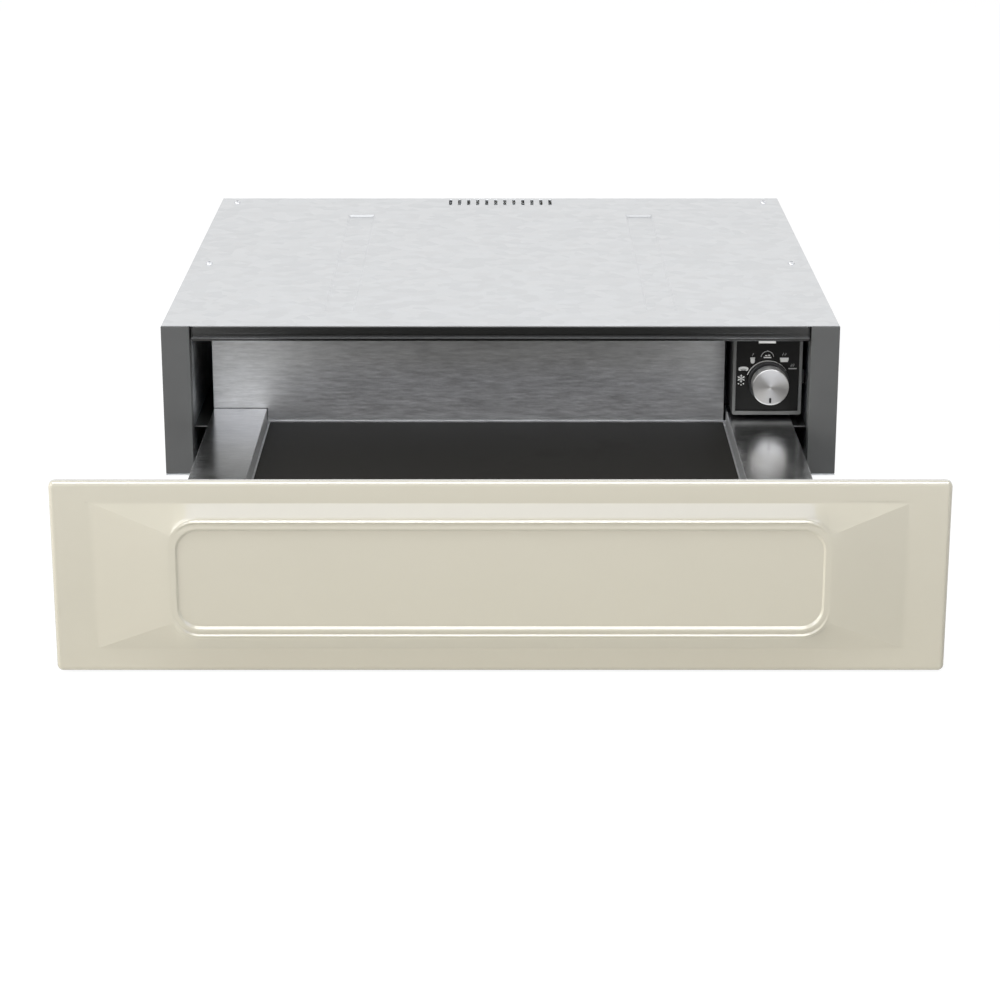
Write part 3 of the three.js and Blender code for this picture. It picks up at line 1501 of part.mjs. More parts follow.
function trayPan() {
  const section = folded([
    [panRight + PAN_RIM, panTop],
    [panRight, panTop],
    [panRight, panFloor],
    [panLeft, panFloor],
    [panLeft, panTop],
    [panLeft - PAN_RIM, panTop],
  ]);
  const rear = wallFront - SEAT;
  const floorUnder = panFloor - SHEET;
  const trough = alongY(section, [trayFront, rear]);
  const frontWall = slab([panLeft, panRight], [trayFront, trayFront + SHEET], [floorUnder, panTop]);
  const rearWall = slab([panLeft, panRight], [rear - SHEET, rear], [floorUnder, panFloor + PAN_REAR_UPSTAND]);
  return join(trough, frontWall, rearWall);
}

function trayLedge(inner) {
  const section = folded([
    [trayHalf, ledgeUnder - LEDGE_LIP],
    [trayHalf, ledgeTop],
    [inner, ledgeTop],
  ]);
  return alongY(section, [trayFront, trayRear]);
}

// The back wall stands on the left ledge and behind the pan, and stops short of the control box.
function trayBackWall() {
  const low = ledgeTop + SEAT;
  const face = polygon([
    [-trayHalf, low],
    [panLeft + SEAT, low],
    [panLeft + SEAT, panFloor - SHEET],
    [wallRight, panFloor - SHEET],
    [wallRight, wallTop],
    [-trayHalf, wallTop],
  ]);
  const sheet = alongY(face, [wallFront, wallFront + SHEET]);
  const topFlange = slab([-trayHalf, wallRight], [wallFront, trayRear], [wallTop - SHEET, wallTop]);
  const leftFlange = slab([-trayHalf, -trayHalf + SHEET], [wallFront, trayRear], [low, wallTop]);
  const rightFlange = slab([wallRight - SHEET, wallRight], [wallFront, trayRear], [low, wallTop]);
  return join(sheet, topFlange, leftFlange, rightFlange);
}

function mat() {
  const outline = roundedRectangle(
    [panLeft + MAT_MARGIN, panRight - MAT_MARGIN],
    [trayFront + SHEET + MAT_MARGIN, wallFront - SHEET - MAT_MARGIN],
    MAT_CORNER,
  );
  return alongZ(outline, [panFloor + SEAT, panFloor + SEAT + MAT_THICKNESS]);
}

pair(drawer, "tray_side", sideChannel(), zincSheet);
piece(drawer, "tray_pan", trayPan(), brushedSteel);
piece(drawer, "tray_ledge_right", trayLedge(panRight), brushedSteel);
piece(drawer, "tray_ledge_left", mirrored(trayLedge(-panLeft)), brushedSteel);
piece(drawer, "tray_back_wall", trayBackWall(), brushedSteel);
piece(drawer, "mat", mat(), siliconeMat);

export default warmingDrawer;
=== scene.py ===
# %% [markdown]
# # A built-in warming drawer, drawn open
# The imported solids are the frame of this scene. Each of them already sits where it belongs, so
# the lesson is about looks: fine shapes where the eye rests, soft edges on the folded sheets,
# and finishes made from nodes. Sizes below are written in millimetres and turned into metres.

# %% Load the frame
import json
from itertools import count
from math import atan2, cos, hypot, pi, radians, sin

import bmesh
import bpy
from mathutils import Matrix, Vector


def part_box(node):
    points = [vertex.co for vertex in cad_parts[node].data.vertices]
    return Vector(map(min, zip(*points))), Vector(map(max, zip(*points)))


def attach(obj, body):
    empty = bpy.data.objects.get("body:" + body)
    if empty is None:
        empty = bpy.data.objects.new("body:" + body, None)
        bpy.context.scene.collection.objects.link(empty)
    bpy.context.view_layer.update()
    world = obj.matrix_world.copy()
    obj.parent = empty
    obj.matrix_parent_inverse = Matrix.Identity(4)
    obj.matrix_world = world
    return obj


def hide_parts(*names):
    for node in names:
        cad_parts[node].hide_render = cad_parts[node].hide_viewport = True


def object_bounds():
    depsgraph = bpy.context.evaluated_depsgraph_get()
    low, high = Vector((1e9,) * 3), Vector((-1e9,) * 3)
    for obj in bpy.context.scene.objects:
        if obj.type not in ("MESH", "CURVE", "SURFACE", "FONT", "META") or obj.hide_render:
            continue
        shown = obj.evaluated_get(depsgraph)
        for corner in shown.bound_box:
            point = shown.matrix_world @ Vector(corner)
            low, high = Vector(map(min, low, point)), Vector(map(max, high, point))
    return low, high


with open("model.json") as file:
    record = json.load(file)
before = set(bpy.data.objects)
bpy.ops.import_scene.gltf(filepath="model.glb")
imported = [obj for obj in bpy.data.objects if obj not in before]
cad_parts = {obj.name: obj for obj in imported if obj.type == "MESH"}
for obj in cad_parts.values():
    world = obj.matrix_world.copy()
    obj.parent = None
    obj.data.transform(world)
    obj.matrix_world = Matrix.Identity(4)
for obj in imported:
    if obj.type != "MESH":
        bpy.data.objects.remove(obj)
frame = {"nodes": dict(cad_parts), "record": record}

MM = 0.001
cad_low, cad_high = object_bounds()
cad_nodes = frame["nodes"]
behaviour = frame["record"]["behaviour"]
body_of = {node: body for body, nodes in behaviour["bodies"].items() for node in nodes}
slot_of = {name: node.material_slots[0].material.name for name, node in cad_nodes.items()}
print("finishes:", len(set(slot_of.values())))

# %% [markdown]
# ## The camera
# The photograph looks down on the drawer by a little under 18 degrees, from straight ahead. A long
# lens keeps the front nearly rectangular. The lens and the distance were worked out from places
# whose sizes are known: the corners of the front panel, of the body behind it, and of the tray.

# %% Camera
LENS = 97.5
CAMERA_PLACE = (-0.0003, -2.4176, 0.6661)
CAMERA_PITCH = 17.72  # degrees below the horizon

camera = bpy.data.objects.new("camera", bpy.data.cameras.new("camera"))
camera.data.lens = LENS
camera.data.sensor_width = 36
camera.data.clip_start = 0.01
camera.data.clip_end = 100
camera.location = CAMERA_PLACE
camera.rotation_euler = (radians(90 - CAMERA_PITCH), 0, 0)
bpy.context.scene.collection.objects.link(camera)
bpy.context.scene.camera = camera
print("camera", tuple(camera.location), "pitch", CAMERA_PITCH)

# %% [markdown]
# ## Light
# A product photograph of this kind is lit softly from all round. The world gives that even light,
# and five lamps shape it. The long one above draws the thin bright lines along the pressed front,
# and the wide one on the left shows as a pale field in glossy metal. Two more are seen in
# reflections only: the gleam strengthens the lines of light, and the sheen makes the upper slope
# cooler. The last one, far to the side, is never mirrored: it makes what faces left lighter than
# what faces right. Behind the object the picture is white, so the world and the floor look white
# to the camera and in reflections, without adding any light.

# %% World
WORLD_LIGHT = 0.39
WORLD_TINT = (1.0, 0.985, 0.955)


def math_node(tree, operation, a, b, vector=False):
    """A math node whose inputs are sockets or values. Returns the socket with its result."""
    node = tree.nodes.new("ShaderNodeVectorMath" if vector else "ShaderNodeMath")
    node.operation = operation
    for socket, value in zip(node.inputs, (a, b)):
        if hasattr(value, "is_linked"):
            tree.links.new(value, socket)
        else:
            socket.default_value = value
    return node.outputs[1 if operation == "LENGTH" else 0]


world = bpy.data.worlds.new("studio")
world.use_nodes = True
tree = world.node_tree
tree.nodes.clear()
gathered = tree.nodes.new("ShaderNodeBackground")
gathered.inputs["Strength"].default_value = WORLD_LIGHT
gathered.inputs["Color"].default_value = (*WORLD_TINT, 1)
seen = tree.nodes.new("ShaderNodeBackground")
seen.inputs["Strength"].default_value = 1
seen.inputs["Color"].default_value = (1, 1, 1, 1)

# 1 where the camera, a reflection or glass looks, 0 where light is gathered.
path = tree.nodes.new("ShaderNodeLightPath").outputs
mirrored = math_node(tree, "MAXIMUM", path["Is Glossy Ray"], path["Is Transmission Ray"])
choose = tree.nodes.new("ShaderNodeMixShader")
tree.links.new(math_node(tree, "MAXIMUM", path["Is Camera Ray"], mirrored), choose.inputs[0])
tree.links.new(gathered.outputs[0], choose.inputs[1])
tree.links.new(seen.outputs[0], choose.inputs[2])
tree.links.new(choose.outputs[0], tree.nodes.new("ShaderNodeOutputWorld").inputs["Surface"])
bpy.context.scene.world = world
bpy.context.scene.view_settings.view_transform = "Standard"
print("world light", WORLD_LIGHT, "tint", WORLD_TINT)


# %% Lamps
def soft_lamp(name, place, aim, size, brightness, colour=(1, 1, 1)):
    """A rectangular lamp. Brightness is what a mirror would show of it, where 1 is white."""
    lamp = bpy.data.objects.new(name, bpy.data.lights.new(name, "AREA"))
    lamp.data.shape = "RECTANGLE"
    lamp.data.size, lamp.data.size_y = size
    lamp.data.energy = brightness * pi * size[0] * size[1]
    lamp.data.color = colour
    lamp.location = place
    lamp.rotation_euler = (Vector(aim) - Vector(place)).to_track_quat("-Z", "Y").to_euler()
    bpy.context.scene.collection.objects.link(lamp)
    print(name, "size", size, "brightness", brightness)
    return lamp


COOL, BLUE = (0.88, 0.95, 1.0), (0.25, 0.40, 1.0)
soft_lamp("lamp_above", (-0.1, -1.0, 1.6), (-0.1, -0.75, 0), (2.4, 0.5), 4.9, COOL)
soft_lamp("lamp_left", (-5.0, -4.0, 2.4), (0, -0.7, 0.1), (4.4, 4.4), 1.6)
lamp_gleam = soft_lamp("lamp_gleam", (0, -1.02, 1.3), (0, -0.9, 0), (2.4, 0.8), 4.0)
lamp_sheen = soft_lamp("lamp_sheen", (0, -2.2, 1.6), (0, -0.71, 0.1), (3.6, 0.6), 0.8, BLUE)
lamp_side = soft_lamp("lamp_side", (-18, -6.5, 6.2), (0, -0.7, 0.1), (10, 10), 6.5)
lamp_gleam.visible_diffuse = lamp_sheen.visible_diffuse = False
lamp_side.visible_glossy = False

# %% [markdown]
# The floor is a white sheet just under the object. To the camera it is exactly white, but for a
# part of the object's shadow, which shows where the object stands. Reflections see it white too,
# and darker close to the object, because there the object itself shades a real floor.

# %% Floor
FLOOR_DROP = 0.5 * MM  # the object stands this far above it
FLOOR_HALF = 30  # half of the floor's side, in metres
FLOOR_COLOUR = (0.9, 0.9, 0.9, 1)
FLOOR_SHADOW = 0.2  # how much of the shadow shows
FLOOR_WHITE = 1.13  # with the shadow's share this makes the open floor exactly white
FLOOR_NEAR = 0.35  # what reflections see of the floor close to the object
FLOOR_FAR = 0.5  # this many metres from the object they see it white

floor_bm = bmesh.new()
bmesh.ops.create_grid(floor_bm, x_segments=1, y_segments=1, size=FLOOR_HALF)
bmesh.ops.translate(floor_bm, verts=floor_bm.verts, vec=(0, 0, -FLOOR_DROP))
floor_mesh = bpy.data.meshes.new("floor")
floor_bm.to_mesh(floor_mesh)
floor_bm.free()
floor = bpy.data.objects.new("floor", floor_mesh)
bpy.context.scene.collection.objects.link(floor)

floor_finish = bpy.data.materials.new("floor")
floor_finish.use_nodes = True
tree = floor_finish.node_tree
tree.nodes.clear()
matt = tree.nodes.new("ShaderNodeBsdfDiffuse")
matt.inputs["Color"].default_value = FLOOR_COLOUR
white = tree.nodes.new("ShaderNodeEmission")

# How far a place lies from the object's footprint, in metres.
NOTHING = (0, 0, 0)
middle, half = (cad_low + cad_high) / 2, (cad_high - cad_low) / 2
place = tree.nodes.new("ShaderNodeTexCoord").outputs["Object"]
for operation, value in (
    ("SUBTRACT", (middle.x, middle.y, 0)), ("ABSOLUTE", NOTHING),
    ("SUBTRACT", (half.x, half.y, 1)), ("MAXIMUM", NOTHING), ("LENGTH", NOTHING),
):
    place = math_node(tree, operation, place, value, vector=True)
away = tree.nodes.new("ShaderNodeMapRange")
away.inputs["From Max"].default_value = FLOOR_FAR
away.inputs["To Min"].default_value = FLOOR_NEAR
tree.links.new(place, away.inputs["Value"])

path = tree.nodes.new("ShaderNodeLightPath").outputs
mirrored = math_node(tree, "MAXIMUM", path["Is Glossy Ray"], path["Is Transmission Ray"])
looked_at = math_node(tree, "MULTIPLY", path["Is Camera Ray"], 1 - FLOOR_SHADOW)
share = math_node(tree, "MAXIMUM", looked_at, mirrored)
shaded = math_node(tree, "MULTIPLY", mirrored, away.outputs["Result"])
strength = math_node(tree, "MAXIMUM", path["Is Camera Ray"], shaded)
tree.links.new(math_node(tree, "MULTIPLY", strength, FLOOR_WHITE), white.inputs["Strength"])
blend = tree.nodes.new("ShaderNodeMixShader")
tree.links.new(share, blend.inputs[0])
tree.links.new(matt.outputs[0], blend.inputs[1])
tree.links.new(white.outputs[0], blend.inputs[2])
tree.links.new(blend.outputs[0], tree.nodes.new("ShaderNodeOutputMaterial").inputs["Surface"])
floor_mesh.materials.append(floor_finish)
print("floor laid", FLOOR_DROP, "below the object")

# %% [markdown]
# ## Shared surface effects
# Three small effects appear in many finishes, so each is a node group with named inputs, made once:
# the long scratches of brushed steel, a fine speckle for paint, rubber and cast plastic, and the
# uneven gloss that handling leaves. They read Object coordinates, in metres, so that their scale
# is real.

# %% Effect groups
def effect_group(name, inputs, outputs):
    """A node group with float or vector inputs (name, kind, value) and float outputs."""
    group = bpy.data.node_groups.new(name, "ShaderNodeTree")
    for label, kind, value in inputs:
        socket = group.interface.new_socket(label, in_out="INPUT", socket_type=kind)
        socket.default_value = value
    for label in outputs:
        group.interface.new_socket(label, in_out="OUTPUT", socket_type="NodeSocketFloat")
    ends = group.nodes.new("NodeGroupInput"), group.nodes.new("NodeGroupOutput")
    return group, *ends


def noise_in(group, vector, detail, roughness=0.5):
    texture = group.nodes.new("ShaderNodeTexNoise")
    texture.inputs["Scale"].default_value = 1
    texture.inputs["Detail"].default_value = detail
    texture.inputs["Roughness"].default_value = roughness
    group.links.new(vector, texture.inputs["Vector"])
    return texture.outputs["Fac"]


def stretched_in(group, vector, by):
    return math_node(group, "MULTIPLY", vector, by, vector=True)


# Brushed: two layers of noise drawn out along the brushing direction.
brushed, entry, leave = effect_group(
    "brushed grain",
    [("Vector", "NodeSocketVector", (0, 0, 0)), ("Stretch", "NodeSocketVector", (25, 900, 900))],
    ["Scratch", "Cloud"],
)
where, stretch = entry.outputs["Vector"], entry.outputs["Stretch"]
fine = noise_in(brushed, stretched_in(brushed, where, stretch), 4, 0.65)
wide = noise_in(brushed, stretched_in(brushed, where, (9, 14, 14)), 2)
brushed.links.new(fine, leave.inputs["Scratch"])
brushed.links.new(wide, leave.inputs["Cloud"])

# Speckle: fine even grains, for paint, rubber and moulded plastic.
speckle, entry, leave = effect_group(
    "speckle",
    [("Vector", "NodeSocketVector", (0, 0, 0)), ("Scale", "NodeSocketFloat", 1200)],
    ["Grain"],
)
scaled = speckle.nodes.new("ShaderNodeVectorMath")
scaled.operation = "SCALE"
speckle.links.new(entry.outputs["Vector"], scaled.inputs[0])
speckle.links.new(entry.outputs["Scale"], scaled.inputs["Scale"])
speckle.links.new(noise_in(speckle, scaled.outputs[0], 3), leave.inputs["Grain"])

# Handling: broad soft clouds, cut so that only some places differ.
handling, entry, leave = effect_group(
    "handling",
    [("Vector", "NodeSocketVector", (0, 0, 0))],
    ["Smudge"],
)
clouds = noise_in(handling, stretched_in(handling, entry.outputs["Vector"], (11, 9, 13)), 5, 0.6)
raised = math_node(handling, "SUBTRACT", clouds, 0.5)
handling.links.new(math_node(handling, "MULTIPLY", raised, 2), leave.inputs["Smudge"])
print("effects:", [group.name for group in bpy.data.node_groups])

# %% [markdown]
# ## Finishes
# Each finish is one material. A number that is the same all over is set on the shader itself. What
# changes over the surface comes from an effect group and is added to the colour, the roughness or
# the bump. The functions below take care of the wiring that they all share.

# %% A finish from a shader and its effects
def finish(name, colour, roughness, metallic=0.0, **sockets):
    material = bpy.data.materials.new(name)
    material.use_nodes = True
    shader = material.node_tree.nodes["Principled BSDF"]
    shader.inputs["Base Color"].default_value = (*colour, 1)
    shader.inputs["Roughness"].default_value = roughness
    shader.inputs["Metallic"].default_value = metallic
    for label, value in sockets.items():
        shader.inputs[label.replace("_", " ")].default_value = value
    return material


def effect(material, group, **values):
    """Places an effect group in a material and gives it Object coordinates."""
    tree = material.node_tree
    coordinates = tree.nodes.get("Texture Coordinate") or tree.nodes.new("ShaderNodeTexCoord")
    node = tree.nodes.new("ShaderNodeGroup")
    node.node_tree = group
    tree.links.new(coordinates.outputs["Object"], node.inputs["Vector"])
    for label, value in values.items():
        node.inputs[label].default_value = value
    return node


def vary(material, label, amount, mask):
    """Lets a mask move a socket of the shader up and down by amount. A colour is multiplied."""
    tree = material.node_tree
    target = tree.nodes["Principled BSDF"].inputs[label]
    before = target.links[0].from_socket if target.is_linked else None
    span = tree.nodes.new("ShaderNodeMapRange")
    span.inputs["From Min"].default_value = 0.2
    span.inputs["From Max"].default_value = 0.8
    tree.links.new(mask, span.inputs["Value"])
    if label == "Base Color":
        join = tree.nodes.new("ShaderNodeMix")
        join.data_type = "RGBA"
        join.blend_type = "MULTIPLY"
        join.inputs["Factor"].default_value = 1
        middle, first, second = 1, join.inputs["A"], join.inputs["B"]
        result = join.outputs["Result"]
    else:
        join = tree.nodes.new("ShaderNodeMath")
        middle, first, second = 0, join.inputs[0], join.inputs[1]
        result = join.outputs[0]
    span.inputs["To Min"].default_value = middle - amount
    span.inputs["To Max"].default_value = middle + amount
    if before:
        tree.links.new(before, first)
    else:
        first.default_value = target.default_value
    tree.links.new(span.outputs["Result"], second)
    tree.links.new(result, target)


def relief(material, height, strength, depth):
    """Bump from a height, depth metres deep. A second relief is laid on the first."""
    tree = material.node_tree
    normal = tree.nodes["Principled BSDF"].inputs["Normal"]
    bump = tree.nodes.new("ShaderNodeBump")
    bump.inputs["Strength"].default_value = strength
    bump.inputs["Distance"].default_value = depth
    tree.links.new(height, bump.inputs["Height"])
    if normal.is_linked:
        tree.links.new(normal.links[0].from_socket, bump.inputs["Normal"])
    tree.links.new(bump.outputs["Normal"], normal)


# %% [markdown]
# The front is vitreous enamel: glass melted on steel, cream coloured, with a faint long ripple.
# The frame round the opening is powder coated, black and glossy on the rail and grey on the posts.
# The casing is bright zinc-coated sheet.

# %% Enamel, powder coat and zinc
def enamel():
    glaze = {"IOR": 1.6, "Coat_Weight": 1.0, "Coat_Roughness": 0.08}
    made = finish("cream enamel", (0.615, 0.570, 0.462), 0.12, **glaze)
    vary(made, "Roughness", 0.02, effect(made, handling).outputs["Smudge"])
    vary(made, "Base Color", 0.008, effect(made, speckle, Scale=14).outputs["Grain"])
    relief(made, effect(made, speckle, Scale=160).outputs["Grain"], 0.05, 0.0002)
    return made


def powder_coat(name, colour, roughness, **sockets):
    made = finish(name, colour, roughness, **sockets)
    vary(made, "Base Color", 0.05, effect(made, speckle, Scale=40).outputs["Grain"])
    vary(made, "Roughness", 0.04, effect(made, handling).outputs["Smudge"])
    relief(made, effect(made, speckle, Scale=1400).outputs["Grain"], 0.12, 0.0001)
    return made


def zinc_coat():
    """Zinc sheet shows a pattern of crystals, each of its own gloss."""
    made = finish("zinc-coated sheet", (0.64, 0.65, 0.66), 0.40, 1.0)
    handled = effect(made, handling)
    spangle = made.node_tree.nodes.new("ShaderNodeTexVoronoi")
    spangle.inputs["Scale"].default_value = 90
    coordinates = made.node_tree.nodes["Texture Coordinate"]
    made.node_tree.links.new(coordinates.outputs["Object"], spangle.inputs["Vector"])
    crystal = made.node_tree.nodes.new("ShaderNodeSeparateColor")
    made.node_tree.links.new(spangle.outputs["Color"], crystal.inputs["Color"])
    vary(made, "Base Color", 0.03, crystal.outputs["Red"])
    vary(made, "Roughness", 0.05, crystal.outputs["Green"])
    vary(made, "Roughness", 0.04, handled.outputs["Smudge"])
    return made


# %% [markdown]
# Steel that is brushed shows fine scratches in one direction and wide, faint clouds. The knob's cap
# was turned instead: its marks are rings about the axis, so its gloss is drawn out across them.

# %% Brushed and turned metal
ALONG_X = (75, 520, 520)
ALONG_Y = (1300, 22, 1300)


def brushed_steel(name, colour, roughness, stretch):
    made = finish(name, colour, roughness, 1.0)
    grain = effect(made, brushed, Stretch=stretch)
    vary(made, "Base Color", 0.22, grain.outputs["Scratch"])
    vary(made, "Base Color", 0.05, grain.outputs["Cloud"])
    vary(made, "Roughness", 0.08, grain.outputs["Scratch"])
    relief(made, grain.outputs["Scratch"], 0.15, 0.00003)
    return made


def spun():
    across = {"Anisotropic": 0.9, "Anisotropic_Rotation": 0.25}
    made = finish("spun aluminium", (0.48, 0.47, 0.455), 0.32, 1.0, **across)
    tangent = made.node_tree.nodes.new("ShaderNodeTangent")
    tangent.direction_type = "RADIAL"
    tangent.axis = "Y"
    shader = made.node_tree.nodes["Principled BSDF"]
    made.node_tree.links.new(tangent.outputs["Tangent"], shader.inputs["Tangent"])
    vary(made, "Roughness", 0.02, effect(made, speckle, Scale=900).outputs["Grain"])
    return made


# %% [markdown]
# Plastic, rubber and wool have no metal's mirror. What tells them apart is the size of their grain
# and the width of their gloss. The light bar glows a little, as a neon lamp behind white plastic.

# %% Plastics, rubber, wool and the light bar
def moulded(name, colour, roughness, scale=2200, **sockets):
    made = finish(name, colour, roughness, **sockets)
    vary(made, "Base Color", 0.04, effect(made, speckle, Scale=60).outputs["Grain"])
    vary(made, "Roughness", 0.04, effect(made, handling).outputs["Smudge"])
    relief(made, effect(made, speckle, Scale=scale).outputs["Grain"], 0.1, 0.00005)
    return made


def wool():
    made = finish("mineral wool", (0.60, 0.50, 0.27), 0.95)
    fibres = effect(made, brushed, Stretch=(140, 900, 500))
    vary(made, "Base Color", 0.25, fibres.outputs["Scratch"])
    relief(made, fibres.outputs["Scratch"], 0.8, 0.001)
    return made


def light_bar():
    glow = {"Emission_Color": (1, 1, 0.98, 1), "Emission_Strength": 0.3}
    made = finish("white light bar", (0.80, 0.80, 0.78), 0.25, **glow)
    vary(made, "Roughness", 0.05, effect(made, speckle, Scale=300).outputs["Grain"])
    return made


# %% [markdown]
# Every solid names a finish. All solids get theirs here, and three are added. The ledges get steel
# that is smoother than the tray's and painted lighter, a painted highlight that makes them show
# brighter. Two pieces look a little different on the real object: the posts have a more matt coat,
# and the bezel round the fascia is a paler plastic.

# %% The finishes
matt_rubber, matt_plastic = {"Specular_IOR_Level": 0.15}, {"Specular_IOR_Level": 0.22}
finishes = {
    "cream_enamel": enamel(),
    "dark_paint": powder_coat("dark powder coat", (0.016, 0.016, 0.015), 0.26, IOR=1.9),
    "zinc_sheet": zinc_coat(),
    "brushed_steel": brushed_steel("brushed steel", (0.58, 0.58, 0.575), 0.48, ALONG_X),
    "runner_steel": brushed_steel("bright zinc", (0.74, 0.75, 0.77), 0.25, ALONG_Y),
    "ball_steel": finish("polished balls", (0.85, 0.86, 0.87), 0.12, 1.0),
    "silicone_mat": moulded("silicone mat", (0.0100, 0.0088, 0.0070), 0.62, 900, **matt_rubber),
    "mineral_wool": wool(),
    "black_plastic": moulded("black plastic", (0.012, 0.012, 0.012), 0.38),
    "black_fascia": moulded("fascia", (0.008, 0.0078, 0.007), 0.28, 3000, **matt_plastic),
    "spun_metal": spun(),
    "white_lens": light_bar(),
    "gasket_rubber": moulded("gasket rubber", (0.033, 0.031, 0.028), 0.6, 1500),
    "white_plastic": moulded("pale plastic", (0.72, 0.70, 0.66), 0.42),
    "heater_sheath": brushed_steel("heater sheath", (0.16, 0.14, 0.12), 0.45, ALONG_X),
}
# The ledges are the tray's steel, smoother and with a colour painted lighter: a painted highlight.
ledge_steel_painted_lighter = brushed_steel("brushed ledge painted lighter", (0.84, 0.84, 0.835), 0.20, ALONG_X)
post_finish = powder_coat("grey powder coat", (0.102, 0.102, 0.100), 0.5)
bezel_finish = moulded("bezel", (0.13, 0.13, 0.125), 0.38)
for name, node in cad_nodes.items():
    node.material_slots[0].material = finishes[slot_of[name]]
print("finishes:", sorted(finishes))

# %% [markdown]
# ## Making a piece
# Every new piece ends the same way: the mesh is cleaned, gets its finish, and rides on the body
# that carries it, and the solids it stands for are hidden. One function does this for all of them.
# Another makes such a piece of a solid as it is, with soft edges.

# %% Helpers for pieces
def piece(name, bm, body, slot, material=None, stands_for=(), smooth_below=40):
    bmesh.ops.remove_doubles(bm, verts=bm.verts, dist=1e-7)
    bmesh.ops.recalc_face_normals(bm, faces=bm.faces)
    for face in bm.faces:
        face.smooth = True
    for edge in bm.edges:
        if len(edge.link_faces) == 2 and edge.calc_face_angle() > radians(smooth_below):
            edge.smooth = False
    mesh = bpy.data.meshes.new(name)
    bm.to_mesh(mesh)
    bm.free()
    mesh.materials.append(material or finishes[slot])
    made = bpy.data.objects.new(name, mesh)
    bpy.context.scene.collection.objects.link(made)
    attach(made, body)
    if stands_for:
        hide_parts(*stands_for)
    return made


def dressed(node, edge, material=None):
    """A merged copy of a solid with softened edges stands for the solid. edge is in millimetres."""
    bm = bmesh.new()
    bm.from_mesh(cad_nodes[node].data)
    bmesh.ops.remove_doubles(bm, verts=bm.verts, dist=1e-6)
    bmesh.ops.dissolve_limit(bm, angle_limit=radians(0.5), verts=bm.verts, edges=bm.edges)
    made = piece(node + "_piece", bm, body_of[node], slot_of[node], material, [node], 180)
    soften = made.modifiers.new("soft edges", "BEVEL")
    soften.width = edge * MM
    soften.segments = 2
    soften.limit_method = "ANGLE"
    soften.angle_limit = radians(32)
    soften.harden_normals = True
    soften.use_clamp_overlap = False
    level = made.modifiers.new("level faces", "WEIGHTED_NORMAL")
    level.weight = 100  # the largest face at a corner decides its direction, so it looks flat
    return made


# %% [markdown]
# ## Folded sheets, housings and mouldings
# The solids of the folded sheets have perfectly sharp edges. A real fold or sheared edge is a
# little round and catches a thin line of light, and that line is what makes sheet metal look real.
# So each of these solids is copied, merged and given a small bevel. A bevel alone would bend the
# shading of the flat faces beside it, so a second modifier turns their normals level again.

# %% Soft edges on the solids
edges_by_width = {
    0.4: ["latch_housing", "reed_switch", "door_magnet"],
    0.3: [
        "top_rail", "casing_base", "casing_side_left", "casing_side_right", "casing_top",
        "casing_rear", "liner_floor", "liner_shell", "liner_back", "front_liner",
        "front_bracket_left", "front_bracket_right", "tray_side_left", "tray_side_right",
        "tray_pan", "tray_back_wall", "control_housing", "terminal_block", "blower_motor",
    ],
    0.25: [
        "runner_outer_left", "runner_outer_right", "runner_middle_left", "runner_middle_right",
        "runner_inner_left", "runner_inner_right", "indicator_lens",
    ],
    0.15: ["control_fascia", "latch_carriage", "latch_striker"],
}
softened = [dressed(node, edge) for edge, nodes in edges_by_width.items() for node in nodes]
for side in ("left", "right"):
    softened.append(dressed("tray_ledge_" + side, 0.3, ledge_steel_painted_lighter))
    softened.append(dressed("front_post_" + side, 0.4, post_finish))
    softened.append(dressed("runner_bracket_" + side, 0.3, finishes["dark_paint"]))
softened.append(dressed("control_bezel", 0.35, bezel_finish))
print("softened:", len(softened))

# %% [markdown]
# ## The pressed front
# The front is one enamelled sheet, pressed in a die: a flat border, a raised frame with four
# sloping sides, a bead on its crest and a shallow field inside. The foot of the slopes is a
# rectangle and the crest has round corners, so at each corner the slope of the long side grows
# flatter until it meets the slope of the short side in a ridge. A grid is wrapped round the panel:
# its columns run round the rim, and its rows run from the back edge to the field.

# %% Pressed front: the outline of one ring
skin_low, skin_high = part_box("front_skin")
PANEL_HALF = ((skin_high.x - skin_low.x) / 2, (skin_high.z - skin_low.z) / 2)
PANEL_MIDDLE = (skin_high.z + skin_low.z) / 2
CREST = 7 * MM  # the bead stands this far in front of the border
BORDER_Y = skin_low.y + CREST
CORNER_STEPS = 14  # steps of the grid round each of the four corners


def rim_point(column, half, radius):
    """A place on a rectangle with round corners, and how level the rim runs there, 0 to 1."""
    corner, step = divmod(column, CORNER_STEPS + 1)
    corner %= 4
    angle = (corner + step / CORNER_STEPS) * pi / 2
    side_x = 1 if corner in (0, 3) else -1
    side_z = 1 if corner in (0, 1) else -1
    x = side_x * (half[0] - radius) + radius * cos(angle)
    z = side_z * (half[1] - radius) + radius * sin(angle)
    fade = 6 if side_z > 0 else 2  # the light on the bead fades faster in the upper corners
    return x, z, abs(sin(angle)) ** fade


def ring(half, radius, y, y_beside=None):
    """One turn of the grid, as a function of the column. The short sides may have another y."""
    def place(column):
        x, z, level = rim_point(column, half, radius)
        return x, y * level + (y if y_beside is None else y_beside) * (1 - level), z
    return place


def inset(half, by, radius, y):
    return ring((half[0] - by, half[1] - by), max(radius - by, 0.0), y)


def wrapped(rings, middle_z, closed=False, creased=()):
    """A grid wrapped round the panel. An edge between two creased (column, row) stays sharp."""
    columns = 4 * (CORNER_STEPS + 1)
    rows = len(rings) if closed else len(rings) - 1
    bm = bmesh.new()
    bmesh.ops.create_grid(bm, x_segments=columns, y_segments=rows, size=1)
    cell = {}
    for vertex in bm.verts:
        column, row = (vertex.co.x + 1) / 2 * columns, (vertex.co.y + 1) / 2 * rows
        cell[vertex] = round(column) % columns, round(row) % len(rings)
    for edge in bm.edges:
        if all(cell[v] in creased for v in edge.verts):
            edge.smooth = False
    for vertex, (column, row) in cell.items():
        x, y, z = rings[row](column)
        vertex.co = (x, y, middle_z + z)
    bmesh.ops.remove_doubles(bm, verts=bm.verts, dist=1e-6)
    return bm


